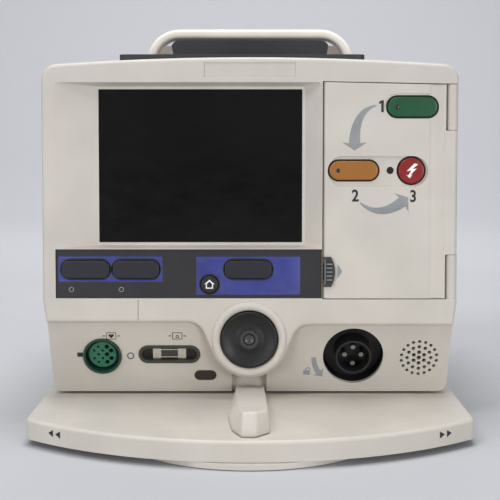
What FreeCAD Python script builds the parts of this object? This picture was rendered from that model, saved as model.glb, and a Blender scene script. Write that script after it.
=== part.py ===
"""Bench-top defibrillator and monitor that stands on a swivelling docking base.

Units are millimetres. +Z is up, the screen faces -Y, and the origin is on the resting
face, on the axis about which the dock swivels.
"""
import FreeCAD
import Part
import math
import os
import Sketcher
from FreeCAD import Placement, Rotation, Vector

# Counts of repeated features.
TAB_RIBS = 6
VENT_COUNT = 9
PAD_COLUMNS = 3
PAD_LINES = 3
GRILLE_RINGS = 3
# A cutter runs past the face that it cuts by this much.
OVER = 1

# Driving dimensions, one spreadsheet cell each.
SIZES = {
    # device case: outline seen from the front, then its depths
    "half_width": 131, "lip_half": 129, "foot_half": 127.4, "case_floor": 17.3,
    "waist_level": 78, "lip_left": 65, "lip_right": 63, "shoulder_level": 218,
    "crown_corner": 228, "crown_radius": 1745, "corner_round": 10, "foot_round": 6,
    "front_face": -90, "split_line": -60, "case_rear": 148, "skin": 3, "hair": 0.01, "seam_step": 0.8,
    "edge_round": 2.4, "rear_round": 8, "bezel_back": -78,
    # swept lower edge of the bezel, round the dial
    "sweep_round": 11, "sweep_left": -39.6, "sweep_right": 37.6, "sweep_run": 10.1,
    "sweep_fall": 6.7, "ring_left": -23.5, "ring_right": 22.5, "ring_join": 44.6,
    "tongue_round": 25,
    # screen
    "recess_left": -122.8, "recess_right": 45.6, "recess_low": 112, "recess_high": 216.6,
    "recess_round": 3, "recess_floor": -81, "screen_left": -96.1, "screen_right": 33.2,
    "screen_low": 115.2, "screen_high": 212.5, "screen_rim": 1.6, "pane_thick": 1.6,
    "pane_front": -80.4, "module_front": -77.8, "module_back": -70, "module_margin": 4,
    "module_foot": 1,
    # name plate
    "plate_half": 28.9, "plate_low": 219.4, "plate_high": 229, "plate_depth": 0.8,
    # keypad strip and its keys
    "strip_low": 80.6, "strip_high": 111.4, "strip_left": -122.6, "strip_right": 45.2,
    "strip_front": -88.8, "strip_back": -86, "strip_gap": 0.2, "key_gap": 0.4,
    "key_front": -90.4, "key_back": -80, "key_round": 4.6, "key_edge": 0.7,
    "key_row": 98.8, "key_high": 11.3, "print_at": -103.9, "print_wide": 30.2,
    "summary_at": -72, "summary_wide": 29.4, "event_at": -1.1, "event_wide": 29.8,
    "home_at": -25.6, "home_level": 89.3, "home_radius": 5.4, "switch_front": -77.6,
    "switch_back": -76, "board_margin": 2, "seam_at": -71, "seam_wide": 0.5, "seam_depth": 0.7,
    # treatment keys behind the door
    "start_at": 101.9, "start_level": 201.2, "start_wide": 31.4, "start_high": 12.6,
    "analyze_at": 65.2, "analyze_level": 161.3, "analyze_wide": 30.7, "analyze_high": 12,
    "shock_at": 101.4, "shock_level": 161.2, "shock_radius": 8.2, "lamp_at": 88.2,
    "lamp_radius": 1.8, "lamp_front": -88.2, "lamp_back": -79, "door_gap": 1, "lamp_clear": 0.5,
    "pill_share": 0.495,
    "treat_front": -90.2, "treat_edge": 1.1,
    # door over the manual controls
    "door_left": 46.2, "door_right": 123, "door_low": 80.4, "door_high_left": 216.6,
    "door_high_right": 215, "door_back": -86, "door_margin": 0.6, "door_floor": -84.4,
    "door_band": 2.8, "valley_at": 117.4, "valley_radius": 11,
    "valley_depth": 1.3, "pill_left": 48.8, "pill_right": 111.8, "pill_low": 151,
    "pill_high": 170.4, "pill_round": 9.6, "pill_depth": 1.5, "start_frame": 2.2,
    "hinge_x": 127.3, "hinge_y": -86.4, "barrel_radius": 3.5, "pin_radius": 1.2,
    "pin_gap": 0.05, "pin_foot": 0.8, "knuckle_low": 79.8, "knuckle_first": 108.2,
    "knuckle_second": 186.3,
    "knuckle_high": 215.2, "knuckle_gap": 0.3, "web_left": 124.6, "barrel_clear": 0.6,
    # release tab at the door's free edge
    "tab_left": 46.6, "tab_right": 53.6, "tab_low": 87.9, "tab_high": 106.8,
    "tab_front": -91.6, "tab_slot_right": 52.4, "tab_lift": 0.2, "tab_bow": 2.6,
    "tab_bow_radius": 18.473,
    "rib_inset": 1.4, "rib_step": 2.5, "rib_tall": 1.2, "rib_long": 3.4, "rib_first": 2.6,
    "rib_deep": 0.5, "stem_low": 92.6, "stem_high": 102.1, "slide_gap": 0.1, "stem_right": 49.6,
    "tab_gap": 0.5, "slider_right": 57,
    "slider_over": 3, "slider_back": -84.9, "catch_left": 49, "catch_right": 51,
    "catch_low": 95, "catch_high": 99, "catch_back": -80, "catch_slack": 4, "catch_play": 1.2,
    # manual controls under the door
    "manual_left": 64, "manual_right": 118, "manual_low": 96, "manual_high": 140,
    "manual_thick": 0.7, "manual_round": 3, "pad_wide": 13, "pad_tall": 8, "pad_step": 17,
    "pad_rise": 12.5, "pad_first": 69, "pad_level": 101, "pad_thick": 0.3,
    # dial
    "dial_at": -0.5, "dial_level": 54.4, "dial_radius": 17.8, "well_radius": 18.3,
    "well_floor": -83.8, "ring_inner": 18.5, "ring_seat": 22.4, "ring_outer": 23.8,
    "ring_back": -88, "ring_rise": 1.8, "knob_back": -84.9, "knob_deep": 7.6,
    "dish_depth": 2.2, "hub_radius": 6.6, "hub_cap": 3.1, "hub_step": 0.7,
    "shaft_radius": 3, "shaft_gap": 0.1, "shaft_back": -69,
    "socket_deep": 3.2, "shaft_slack": 0.2, "ring_lip": 0.1, "ring_step": 0.4,
    "crest_outer": 1.08, "crest_inner": 1.6, "knob_edge": 1, "hub_flare": 3, "encoder_radius": 9,
    "encoder_front": -79.8, "encoder_back": -68,
    "tongue_cavity": 15, "tongue_wall": -80,
    # sloping connector panel; drops are measured down the slope from its top line
    "slope": 15.6, "panel_top": 64.6, "panel_front": -86.6, "panel_thick": 3,
    "panel_inset": 0.3, "panel_foot": -73.475, "notch_left": -11.8, "notch_right": 10.6,
    "notch_top": 33.5, "notch_back": -70.5, "notch_roof": 29, "ecg_at": -94.7, "ecg_drop": 23.5,
    "ecg_radius": 12.2,
    "ecg_bore": 10.8, "ecg_proud": 1.2, "ecg_deep": 14, "ecg_insert": 2,
    "pin_hole": 0.85, "wide_hole": 1.5, "pin_pitch": 2.7, "hole_end": 12, "nose_radius": 8.9,
    "groove_floor": 6,
    "ox_at": -51.7, "ox_drop": 22.3, "ox_wide": 39.3, "ox_high": 12.3, "ox_round": 6.1,
    "ox_wall": 1.9, "ox_proud": 0.6, "ox_deep": 11, "ox_floor": 5, "contact_wide": 5.2,
    "contact_high": 8.1, "contact_at": 8, "contact_front": 1.4, "tongue_high": 4.6, "tongue_root": 1,
    "rail_high": 0.6,
    "ir_at": -28.7, "ir_drop": 37.2, "ir_wide": 14, "ir_high": 6.8, "ir_round": 3.35,
    "ir_proud": 0.3, "ir_deep": 2.6, "therapy_at": 66.2, "therapy_drop": 23.6,
    "therapy_radius": 19.4, "therapy_collar": 19.75, "therapy_floor": 11, "therapy_deep": 20,
    "collar_gap": 0.2,
    "spigot_radius": 11.5, "spigot_wall": 1.3, "spigot_front": -2, "pin_top": 4.8,
    "pin_bottom": -6.6, "pin_side": 5.3, "pin_side_up": -0.4, "contact_radius": 1.5,
    "pins_front": 3, "grille_at": 108.5, "grille_drop": 24.9, "grille_step": 3.8,
    "grille_hole": 1.5, "grille_shrink": 0.13, "speaker_radius": 15,
    "speaker_front": 3.6, "speaker_back": 14, "magnet_radius": 8, "basket_deep": 4.7,
    # carrying handle
    "handle_half": 72, "handle_top": 256.8, "handle_round": 23, "handle_bar": 6.6, "handle_crown": -0.6,
    "handle_inner_round": 16, "handle_foot": 224.6, "handle_front": -2, "handle_back": 22,
    "gusset_foot": 52, "gusset_top": 56, "gusset_level": 246.5, "gusset_front": 14,
    "handle_edge": 2.4, "handle_bolt": 2.5, "bolt_clear": 0.1, "bolt_up": 12,
    "bolt_head": 4.4, "bolt_head_high": 3, "bolt_first": 4,
    "bolt_second": 16,
    # tray in the top of the case
    "tray_left": -85.5, "tray_right": 75.1, "tray_front": -57.6, "tray_back": 118,
    "tray_bottom": 222, "tray_floor": 224.4, "tray_rim": 236, "tray_wall": 2.2,
    "tray_round": 6, "tray_gap": 0.4, "wall_half": 63, "wall_top": 258.4,
    "wall_thick": 5, "wall_round": 8, "wall_inset": 0.5,
    # swivelling dock
    "dock_half": 133.2, "bow_radius": 196, "bow_corner": -140.8, "dock_rear": 158,
    "dock_bottom": 4, "dock_top": 16, "dock_roof": 2.5, "dock_wall": 4,
    "dock_corner": 9, "dock_heel": 18, "dock_round": 2.2, "boss_radius": 17,
    "rail_inner": 94, "rail_outer": 106, "rail_front": -40, "rail_back": 126,
    "stop_left": -14, "stop_right": 66, "stop_front": 149, "stop_back": 153, "stop_high": 34,
    "swivel_radius": 10, "bearing_radius": 13, "swivel_top": 13.2, "bearing_low": 4,
    "bearing_high": 13.3, "boss_low": 4.4,
    # latch lever of the dock
    "lever_back": -78, "lever_mid": -144, "lever_fore": -176, "lever_nose": -186,
    "lever_low": 16.2, "back_foot": 9.2, "back_brow": 21.4, "back_top": 22.4, "mid_foot": 11.6,
    "mid_brow": 19.6, "mid_left": -7.4, "mid_top": 26, "fore_foot": 11.8, "fore_brow": 19.4,
    "fore_left": -5.6, "fore_top": 27.8, "nose_foot": 8.6, "nose_brow": 17.2, "nose_top": 18.2,
    "lever_right": 9.6, "lever_skew": 0.2, "rib_proud": 0.9, "first_rib": -2.2, "second_rib": 4,
    "pocket_half": 8, "pocket_front": -86, "pocket_back": -73,
    "pocket_floor": 8.2, "block_half": 17, "block_front": -92, "lug_half": 4,
    "lug_round": 3.6, "lug_y": -79, "lug_level": 12.6, "latch_pin": 1.5, "spring_radius": 1.9,
    "spring_wide": 3, "rib_wide": 4.2, "rib_start": 0.2, "rib_end": 0.125,
    # base plate on the shelf
    "plate_bottom": 0.5, "plate_top": 3.8, "base_half": 100, "base_front": -95,
    "base_back": 128, "base_round": 30, "lobe_radius": 78, "lobe_at": -118,
    "foot_radius": 9, "foot_seat": 2.6, "foot_x": 78, "foot_front": -78, "foot_back": 104,
    "foot_nose": -174, "bolt_square": 50, "shelf_bolt": 2.75,
    # chassis and electronics
    "cover_half": 112, "cover_front": -50, "cover_back": 136, "cover_thick": 3,
    "fit_gap": 0.3, "chassis_half": 116, "chassis_front": -44, "chassis_thick": 2,
    "chassis_low": 24, "chassis_high": 214, "shelf_half": 108, "shelf_back": 132,
    "board_half": 106, "board_low": 30, "board_high": 200, "board_front": -50.4,
    "board_thick": 1.6, "supply_left": 0, "supply_right": 104, "supply_low": 27,
    "supply_high": 84, "supply_front": -34, "supply_back": 64, "cell_left": -52,
    "cell_length": 96, "cell_y": 22, "cell_level": 150, "cell_radius": 27,
    # battery, printer and rear connectors
    "battery_left": -100, "battery_right": -20, "battery_low": 31, "battery_high": 80,
    "battery_front": 68, "battery_rear": 149.4, "bay_wall": 1.8, "bay_gap": 0.6,
    "bay_back": 142, "grip_half": 16, "grip_high": 12, "grip_deep": 7, "printer_front": -22,
    "printer_back": 68, "printer_low": 103.4, "printer_high": 187, "printer_deep": -74,
    "printer_wall": 2, "flap_gap": 0.6, "flap_clear": 0.4, "frame_gap": 1, "flap_thick": 2.8,
    "flap_pin_x": -128.5,
    "flap_pin_z": 105.9, "flap_pin": 0.9, "flap_round": 1.2, "slot_low": 176,
    "slot_high": 178.4, "slot_half": 26, "roll_x": -101, "roll_level": 140,
    "roll_radius": 22, "roll_half": 25, "roll_core": 6, "spindle_radius": 5.6,
    "platen_x": -117, "platen_level": 176, "platen_radius": 4.5, "platen_pin": 1.5,
    "inlet_at": 84, "inlet_level": 54, "inlet_wide": 30, "inlet_high": 24,
    "inlet_front": 124, "inlet_proud": 1.2, "inlet_wall": 2, "inlet_deep": 16,
    "blade_wide": 2, "blade_high": 4, "blade_step": 7, "blade_rise": 2, "blade_short": 3,
    "port_at": 30, "port_level": 54,
    "port_wide": 20, "port_high": 10, "port_front": 134, "port_wall": 1.5, "port_deep": 1.2,
    "stud_at": 52, "stud_radius": 3,
    "stud_tip": 158, "stud_collar": 5.5, "stud_root": 140, "screw_x": 116,
    "screw_low": 36, "screw_high": 206, "screw_radius": 1.5, "screw_head": 3.4,
    "screw_root": 136, "head_high": 1.6, "vent_wide": 3, "vent_step": 7, "vent_low": 150,
    "vent_high": 190, "vent_at": 30,
}

doc = FreeCAD.newDocument("defibrillator")
sheet = doc.addObject("Spreadsheet::Sheet", "sheet")
for row, (alias, number) in enumerate(SIZES.items(), start=1):
    sheet.set(f"A{row}", alias)
    sheet.set(f"B{row}", str(number))
    sheet.setAlias(f"B{row}", alias)
doc.recompute()


class Size:
    """A length that knows its value and the sheet expression that gives it."""

    def __init__(self, value, text):
        self.value = value
        self.text = text

    def join(self, sign, other, value):
        return Size(value, f"({self.text} {sign} {other.text})")

    def __add__(self, other):
        other = as_size(other)
        return self.join("+", other, self.value + other.value)

    def __sub__(self, other):
        other = as_size(other)
        return self.join("-", other, self.value - other.value)

    def __mul__(self, other):
        other = as_size(other)
        return self.join("*", other, self.value * other.value)

    def __truediv__(self, other):
        other = as_size(other)
        return self.join("/", other, self.value / other.value)

    def __neg__(self):
        return Size(-self.value, f"(-1 * {self.text})")

    def __radd__(self, other):
        return as_size(other) + self

    def __rsub__(self, other):
        return as_size(other) - self

    def __rmul__(self, other):
        return as_size(other) * self


def as_size(number):
    return number if isinstance(number, Size) else Size(float(number), f"{number:.6g}")


class Sheet:
    """Each spreadsheet alias as an attribute."""

    def __getattr__(self, alias):
        return Size(float(sheet.get(alias)), f"sheet.{alias}")


d = Sheet()
parts = {}


def bind(target, name, size):
    target.setExpression(name, as_size(size).text)


def keep(label, piece):
    """Register a finished sub-part; its label names its file."""
    piece.Label = label
    parts[label] = piece
    return piece


# ---------------------------------------------------------------- Part primitives

TURNS = {"x": Rotation(Vector(0, 1, 0), 90), "y": Rotation(Vector(1, 0, 0), -90), "z": Rotation()}


def place(piece, corner):
    for axis, size in zip("xyz", corner):
        bind(piece, f"Placement.Base.{axis}", size)


def block(name, low, high):
    piece = doc.addObject("Part::Box", name)
    for side, start, end in zip(("Length", "Width", "Height"), low, high):
        bind(piece, side, as_size(end) - start)
    place(piece, low)
    return piece


def rod(name, axis, start, length, radius):
    """Cylinder along an axis from its low end."""
    piece = doc.addObject("Part::Cylinder", name)
    piece.Placement = Placement(Vector(), TURNS[axis])
    bind(piece, "Radius", radius)
    bind(piece, "Height", length)
    place(piece, start)
    return piece


def fuse(name, *pieces):
    joined = doc.addObject("Part::MultiFuse", name)
    joined.Shapes = list(pieces)
    return joined


def cut(name, base, *tools):
    result = doc.addObject("Part::Cut", name)
    result.Base = base
    result.Tool = tools[0] if len(tools) == 1 else fuse(name + "_tools", *tools)
    return result


def tube(name, axis, start, length, outer, inner):
    return cut(name, rod(name + "_outside", axis, start, length, outer),
               rod(name + "_inside", axis, start, length, inner))


def on_slope(piece):
    """Move a piece built upright at the origin on to the connector panel."""
    piece.Placement = Placement(Vector(), Rotation(Vector(1, 0, 0), d.slope.value))
    place(piece, (0, d.panel_front, d.panel_top))
    return piece


# ---------------------------------------------------------------- sketched bodies

# Each plane's role, and the sense of its normal along the axis that it faces.
PLANES = {"XY": ("XY_Plane", 1), "XZ": ("XZ_Plane", -1), "YZ": ("YZ_Plane", 1)}


def add_loop(sketch, corners):
    """Closed outline. A corner (u, v) ends a line; (u, v, radius) ends an arc, which runs
    anticlockwise for a positive radius and clockwise for a negative one."""
    points = [Vector(as_size(corner[0]).value, as_size(corner[1]).value) for corner in corners]
    ends = []
    for index, corner in enumerate(corners):
        start, end = points[index - 1], points[index]
        if len(corner) == 2:
            edge = sketch.addGeometry(Part.LineSegment(start, end))
            ends.append((edge, 1, 2))
            continue
        radius = corner[2] if corner[2].value > 0 else -corner[2]
        anticlockwise = corner[2].value > 0
        first, last = (start, end) if anticlockwise else (end, start)
        half = (last - first) * 0.5
        inward = Vector(-half.y, half.x).normalize()
        centre = first + half + inward * math.sqrt(radius.value ** 2 - half.Length ** 2)
        angles = [math.atan2(point.y - centre.y, point.x - centre.x) for point in (first, last)]
        circle = Part.Circle(centre, Vector(0, 0, 1), radius.value)
        edge = sketch.addGeometry(Part.ArcOfCircle(circle, *angles))
        ends.append((edge, 1, 2) if anticlockwise else (edge, 2, 1))
        dimension(sketch, "Radius", (edge,), radius)
    for index, corner in enumerate(corners):
        edge, _, head = ends[index]
        following, tail, _ = ends[(index + 1) % len(corners)]
        sketch.addConstraint(Sketcher.Constraint("Coincident", edge, head, following, tail))
        dimension(sketch, "DistanceX", (edge, head), corner[0])
        dimension(sketch, "DistanceY", (edge, head), corner[1])


def add_circle(sketch, across, up, radius):
    centre = Vector(as_size(across).value, as_size(up).value)
    edge = sketch.addGeometry(Part.Circle(centre, Vector(0, 0, 1), radius.value))
    dimension(sketch, "DistanceX", (edge, 3), across)
    dimension(sketch, "DistanceY", (edge, 3), up)
    dimension(sketch, "Radius", (edge,), radius)


def dimension(sketch, kind, where, size):
    size = as_size(size)
    index = sketch.addConstraint(Sketcher.Constraint(kind, *where, size.value))
    if "sheet" in size.text:
        sketch.setExpression(f"Constraints[{index}]", size.text)


def rectangle(left, low, right, high, radius=None):
    """Rectangle, with rounded corners where a radius is given."""
    if radius is None:
        return [(left, low), (right, low), (right, high), (left, high)]
    return [
        (right - radius, low), (right, low + radius, radius),
        (right, high - radius), (right - radius, high, radius),
        (left + radius, high), (left, high - radius, radius),
        (left, low + radius), (left + radius, low, radius),
    ]


def around(across, up, wide, high, radius, margin=0):
    """Rounded rectangle about its centre, grown by a margin."""
    margin = as_size(margin)
    return rectangle(across - wide / 2 - margin, up - high / 2 - margin,
                     across + wide / 2 + margin, up + high / 2 + margin, radius + margin)


def new_body(label):
    return keep(label, doc.addObject("PartDesign::Body", label))


def draw(body, name, plane, level, loops):
    """Sketch on one of the body's origin planes, moved to a level along its axis. A loop is
    a list of corners, or a (across, up, radius) circle."""
    role, sense = PLANES[plane]
    sketch = body.newObject("Sketcher::SketchObject", f"{body.Name}_{name}_sketch")
    support = [feature for feature in body.Origin.OriginFeatures if feature.Role == role]
    sketch.AttachmentSupport = [(support[0], "")]
    sketch.MapMode = "FlatFace"
    bind(sketch, "AttachmentOffset.Base.z", as_size(level) * sense)
    for loop in loops:
        if isinstance(loop, tuple):
            add_circle(sketch, *loop)
        else:
            add_loop(sketch, loop)
    return sketch


def extrude(kind, body, name, plane, start, end, loops):
    """Pad or pocket between two levels."""
    start, end = as_size(start), as_size(end)
    sketch = draw(body, name, plane, start, loops)
    feature = body.newObject(f"PartDesign::{kind}", f"{body.Name}_{name}")
    feature.Profile = sketch
    upward = end.value > start.value
    along_normal = upward == (PLANES[plane][1] > 0)
    feature.Reversed = along_normal == (kind == "Pocket")
    bind(feature, "Length", end - start if upward else start - end)
    sketch.Visibility = False
    return feature


def pad(body, name, plane, start, end, *loops):
    return extrude("Pad", body, name, plane, start, end, loops)


def pocket(body, name, plane, start, end, *loops):
    return extrude("Pocket", body, name, plane, start, end, loops)


def revolve(body, name, corners):
    """Revolution about +Z of an outline given as (radius, height)."""
    sketch = draw(body, name, "XZ", 0, [corners])
    feature = body.newObject("PartDesign::Revolution", f"{body.Name}_{name}")
    feature.Profile = sketch
    feature.ReferenceAxis = (sketch, ["V_Axis"])
    feature.Angle = 360
    return feature


def face_forward(body, across, back, up):
    """Turn a body's +Z to the front and put its origin at a point."""
    body.Placement = Placement(Vector(), Rotation(Vector(1, 0, 0), 90))
    place(body, (across, back, up))


def soften(body, name, radius, chosen, kind="Fillet"):
    """Round or chamfer the edges of the body's tip that a test picks."""
    doc.recompute()
    base = body.Tip
    edges = [f"Edge{index}" for index, edge in enumerate(base.Shape.Edges, start=1) if chosen(edge)]
    feature = body.newObject(f"PartDesign::{kind}", f"{body.Name}_{name}")
    feature.Base = (base, edges)
    bind(feature, "Radius" if kind == "Fillet" else "Size", radius)
    return feature


def flat_at(axis, level, low=None, high=None):
    """Test for edges that lie at one level, optionally inside an X range."""
    def chosen(edge):
        box = edge.BoundBox
        ends = {"x": (box.XMin, box.XMax), "y": (box.YMin, box.YMax), "z": (box.ZMin, box.ZMax)}
        inside = (low is None or box.XMin > low.value) and (high is None or box.XMax < high.value)
        return inside and all(abs(end - level.value) < 1e-3 for end in ends[axis])
    return chosen


def upright(edge):
    """Test for straight edges along Z."""
    box = edge.BoundBox
    return box.XLength < 1e-3 and box.YLength < 1e-3


# ---------------------------------------------------------------- shared outlines


def case_loop(inset, foot):
    """Front view of the case: tapered foot, straight sides, crowned top."""
    side, low = d.half_width - inset, d.foot_half - inset
    top, bend = d.crown_corner - inset, d.corner_round
    return [
        (low - d.foot_round, foot), (low, foot + d.foot_round, d.foot_round),
        (side, d.waist_level), (side, d.shoulder_level - inset), (side - bend, top, bend),
        (bend - side, top, d.crown_radius), (-side, d.shoulder_level - inset, bend),
        (-side, d.waist_level), (-low, foot + d.foot_round), (d.foot_round - low, foot, d.foot_round),
    ]


def tongue_corners(gap):
    """Bezel's lower edge from left to right: lip, sweep down, round the dial, sweep up."""
    gap = as_size(gap)
    return [
        (d.sweep_left - gap, d.lip_left - gap),
        (d.sweep_left + d.sweep_run - gap, d.lip_left - d.sweep_fall - gap, -d.sweep_round),
        (d.ring_left - gap, d.ring_join),
        (d.ring_right + gap, d.ring_join, d.tongue_round + gap),
        (d.sweep_right - d.sweep_run + gap, d.lip_right - d.sweep_fall - gap),
        (d.sweep_right + gap, d.lip_right - gap, -d.sweep_round),
    ]


def door_corners(margin):
    margin = as_size(margin)
    return [
        (d.door_left - margin, d.door_low - margin), (d.door_right + margin, d.door_low - margin),
        (d.door_right + margin, d.door_high_right + margin),
        (d.door_left - margin, d.door_high_left + margin),
    ]


def keypad_loops(margin):
    keys = ((d.print_at, d.print_wide), (d.summary_at, d.summary_wide), (d.event_at, d.event_wide))
    loops = [around(at, d.key_row, wide, d.key_high, d.key_round, margin) for at, wide in keys]
    return loops + [(d.home_at, d.home_level, d.home_radius + margin)]


def treatment_loops(margin):
    return [
        around(d.start_at, d.start_level, d.start_wide, d.start_high, d.start_high * d.pill_share, margin),
        around(d.analyze_at, d.analyze_level, d.analyze_wide, d.analyze_high,
               d.analyze_high * d.pill_share, margin),
        (d.shock_at, d.shock_level, d.shock_radius + margin),
    ]

# ---------------------------------------------------------------- floor base


def base_plate():
    body = new_body("base_plate")
    pad(body, "slab", "XY", d.plate_bottom, d.plate_top,
        rectangle(-d.base_half, d.base_front, d.base_half, d.base_back, d.base_round))
    pad(body, "lobe", "XY", d.plate_bottom, d.plate_top, (0, d.lobe_at, d.lobe_radius))
    seats = [(across, along, d.foot_radius + d.bolt_clear) for across, along in foot_places()]
    pocket(body, "foot_seats", "XY", d.plate_bottom, d.foot_seat, *seats)
    square = [(across * d.bolt_square, along * d.bolt_square, d.shelf_bolt)
              for across in (-1, 1) for along in (-1, 1)]
    pocket(body, "shelf_holes", "XY", d.plate_bottom, d.plate_top, *square)


def foot_places():
    corners = [(across * d.foot_x, along) for across in (-1, 1) for along in (d.foot_front, d.foot_back)]
    return corners + [(as_size(0), d.foot_nose), (as_size(0), as_size(0))]


def base_feet():
    feet = [rod(f"foot_{index}", "z", (across, along, 0), d.foot_seat, d.foot_radius)
            for index, (across, along) in enumerate(foot_places())]
    keep("base_feet", fuse("base_feet", *feet))


def swivel():
    keep("swivel_pin", rod("swivel_pin", "z", (0, 0, d.plate_top), d.swivel_top - d.plate_top,
                           d.swivel_radius))
    keep("swivel_bearing", tube("swivel_bearing", "z", (0, 0, d.bearing_low),
                                d.bearing_high - d.bearing_low, d.bearing_radius,
                                d.swivel_radius + d.pin_gap))


# ---------------------------------------------------------------- dock


def bow_loop(inset):
    """Plan of the dock: straight sides and rear, bowed front."""
    side = d.dock_half - inset
    return [(side, d.bow_corner + inset, d.bow_radius - inset), (side, d.dock_rear - inset),
            (-side, d.dock_rear - inset), (-side, d.bow_corner + inset)]


def dock_shell():
    body = new_body("dock_shell")
    pad(body, "outside", "XY", d.dock_bottom, d.dock_top, bow_loop(0))
    soften(body, "front_corners", d.dock_corner,
           lambda edge: upright(edge) and edge.BoundBox.YMax < 0)
    soften(body, "rear_corners", d.dock_heel,
           lambda edge: upright(edge) and edge.BoundBox.YMin > d.dock_rear.value - OVER)
    soften(body, "top_edge", d.dock_round, flat_at("z", d.dock_top))
    ceiling = d.dock_top - d.dock_roof
    pocket(body, "hollow", "XY", d.dock_bottom, ceiling, bow_loop(d.dock_wall + d.dock_corner / 2))
    pad(body, "boss", "XY", ceiling, d.boss_low, (0, 0, d.boss_radius))
    pad(body, "pocket_block", "XY", ceiling, d.dock_bottom,
        rectangle(-d.block_half, d.block_front, d.block_half, d.pocket_back + d.dock_wall))
    pocket(body, "bearing_seat", "XY", d.boss_low, ceiling, (0, 0, d.bearing_radius))
    pocket(body, "lever_pocket", "XY", d.dock_top, d.pocket_floor,
           rectangle(-d.pocket_half, d.pocket_front, d.pocket_half, d.pocket_back))
    bore = (d.lug_y, d.lug_level, d.latch_pin + d.pin_gap)
    pocket(body, "latch_bore", "YZ", -d.block_half, d.block_half, bore)


def dock_fittings():
    rails = [block(f"rail_{side}", (low, d.rail_front, d.dock_top), (high, d.rail_back, d.case_floor))
             for side, low, high in (("left", -d.rail_outer, -d.rail_inner),
                                     ("right", d.rail_inner, d.rail_outer))]
    stop = block("stop", (d.stop_left, d.stop_front, d.dock_top), (d.stop_right, d.stop_back, d.stop_high))
    keep("dock_guides", fuse("dock_guides", stop, *rails))


def latch_lever():
    """Faceted lever with a ribbed nose, lofted through sections that rise and skew to the front."""
    body = new_body("latch_lever")
    sections = []
    for name, level, foot, brow, left, right, top in (
            ("back", d.lever_back, d.back_foot, d.back_brow, -d.back_foot, d.back_foot, d.back_top),
            ("mid", d.lever_mid, d.mid_foot, d.mid_brow, d.mid_left, d.lever_right, d.mid_top),
            ("fore", d.lever_fore, d.fore_foot, d.fore_brow, d.fore_left, d.lever_right, d.fore_top),
            ("nose", d.lever_nose, d.nose_foot, d.nose_brow, d.fore_left, d.nose_foot, d.nose_top)):
        corners = [(-foot, d.lever_low), (foot, d.lever_low), (foot, brow), (right - d.lever_skew, top),
                   (left + d.lever_skew, top), (-foot, brow)]
        sections.append(draw(body, name, "XZ", level, [corners]))
    shape = body.newObject("PartDesign::AdditiveLoft", "latch_lever_loft")
    shape.Profile = sections[0]
    shape.Sections = sections[1:]
    shape.Ruled = True
    lug = [(d.lug_y - d.lug_round, d.lever_low + OVER), (d.lug_y - d.lug_round, d.lug_level),
           (d.lug_y + d.lug_round, d.lug_level, d.lug_round), (d.lug_y + d.lug_round, d.lever_low + OVER)]
    pad(body, "lug", "YZ", -d.lug_half, d.lug_half, lug)
    run, fall = d.lever_fore - d.lever_nose, d.fore_top - d.nose_top
    start = (d.lever_fore - run * d.rib_start, d.fore_top - fall * d.rib_start)
    end = (d.lever_nose + run * d.rib_end, d.nose_top + fall * d.rib_end)
    ahead, above = d.rib_proud, d.rib_proud / 2
    rib = [(start[0] + ahead, start[1] - above), (end[0] + ahead, end[1] - above),
           (end[0] - ahead, end[1] + above), (start[0] - ahead, start[1] + above)]
    for index, left in enumerate((d.first_rib, d.second_rib)):
        pad(body, f"rib_{index}", "YZ", left, left + d.rib_wide, rib)
    bore = (d.lug_y, d.lug_level, d.latch_pin + d.pin_gap)
    pocket(body, "bore", "YZ", -d.block_half, d.block_half, bore)


def latch_fittings():
    start = (-d.block_half, d.lug_y, d.lug_level)
    keep("latch_pin", rod("latch_pin", "x", start, d.block_half * 2, d.latch_pin))
    springs = []
    for side in (-1, 1):
        middle = side * (d.lug_half + d.spring_wide / 2 + d.tab_gap)
        springs.append(tube(f"spring_{side + 1}", "x", (middle - d.spring_wide / 2, d.lug_y, d.lug_level),
                            d.spring_wide, d.spring_radius, d.latch_pin + d.pin_gap))
    keep("latch_spring", fuse("latch_spring", *springs))


# ---------------------------------------------------------------- case


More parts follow.
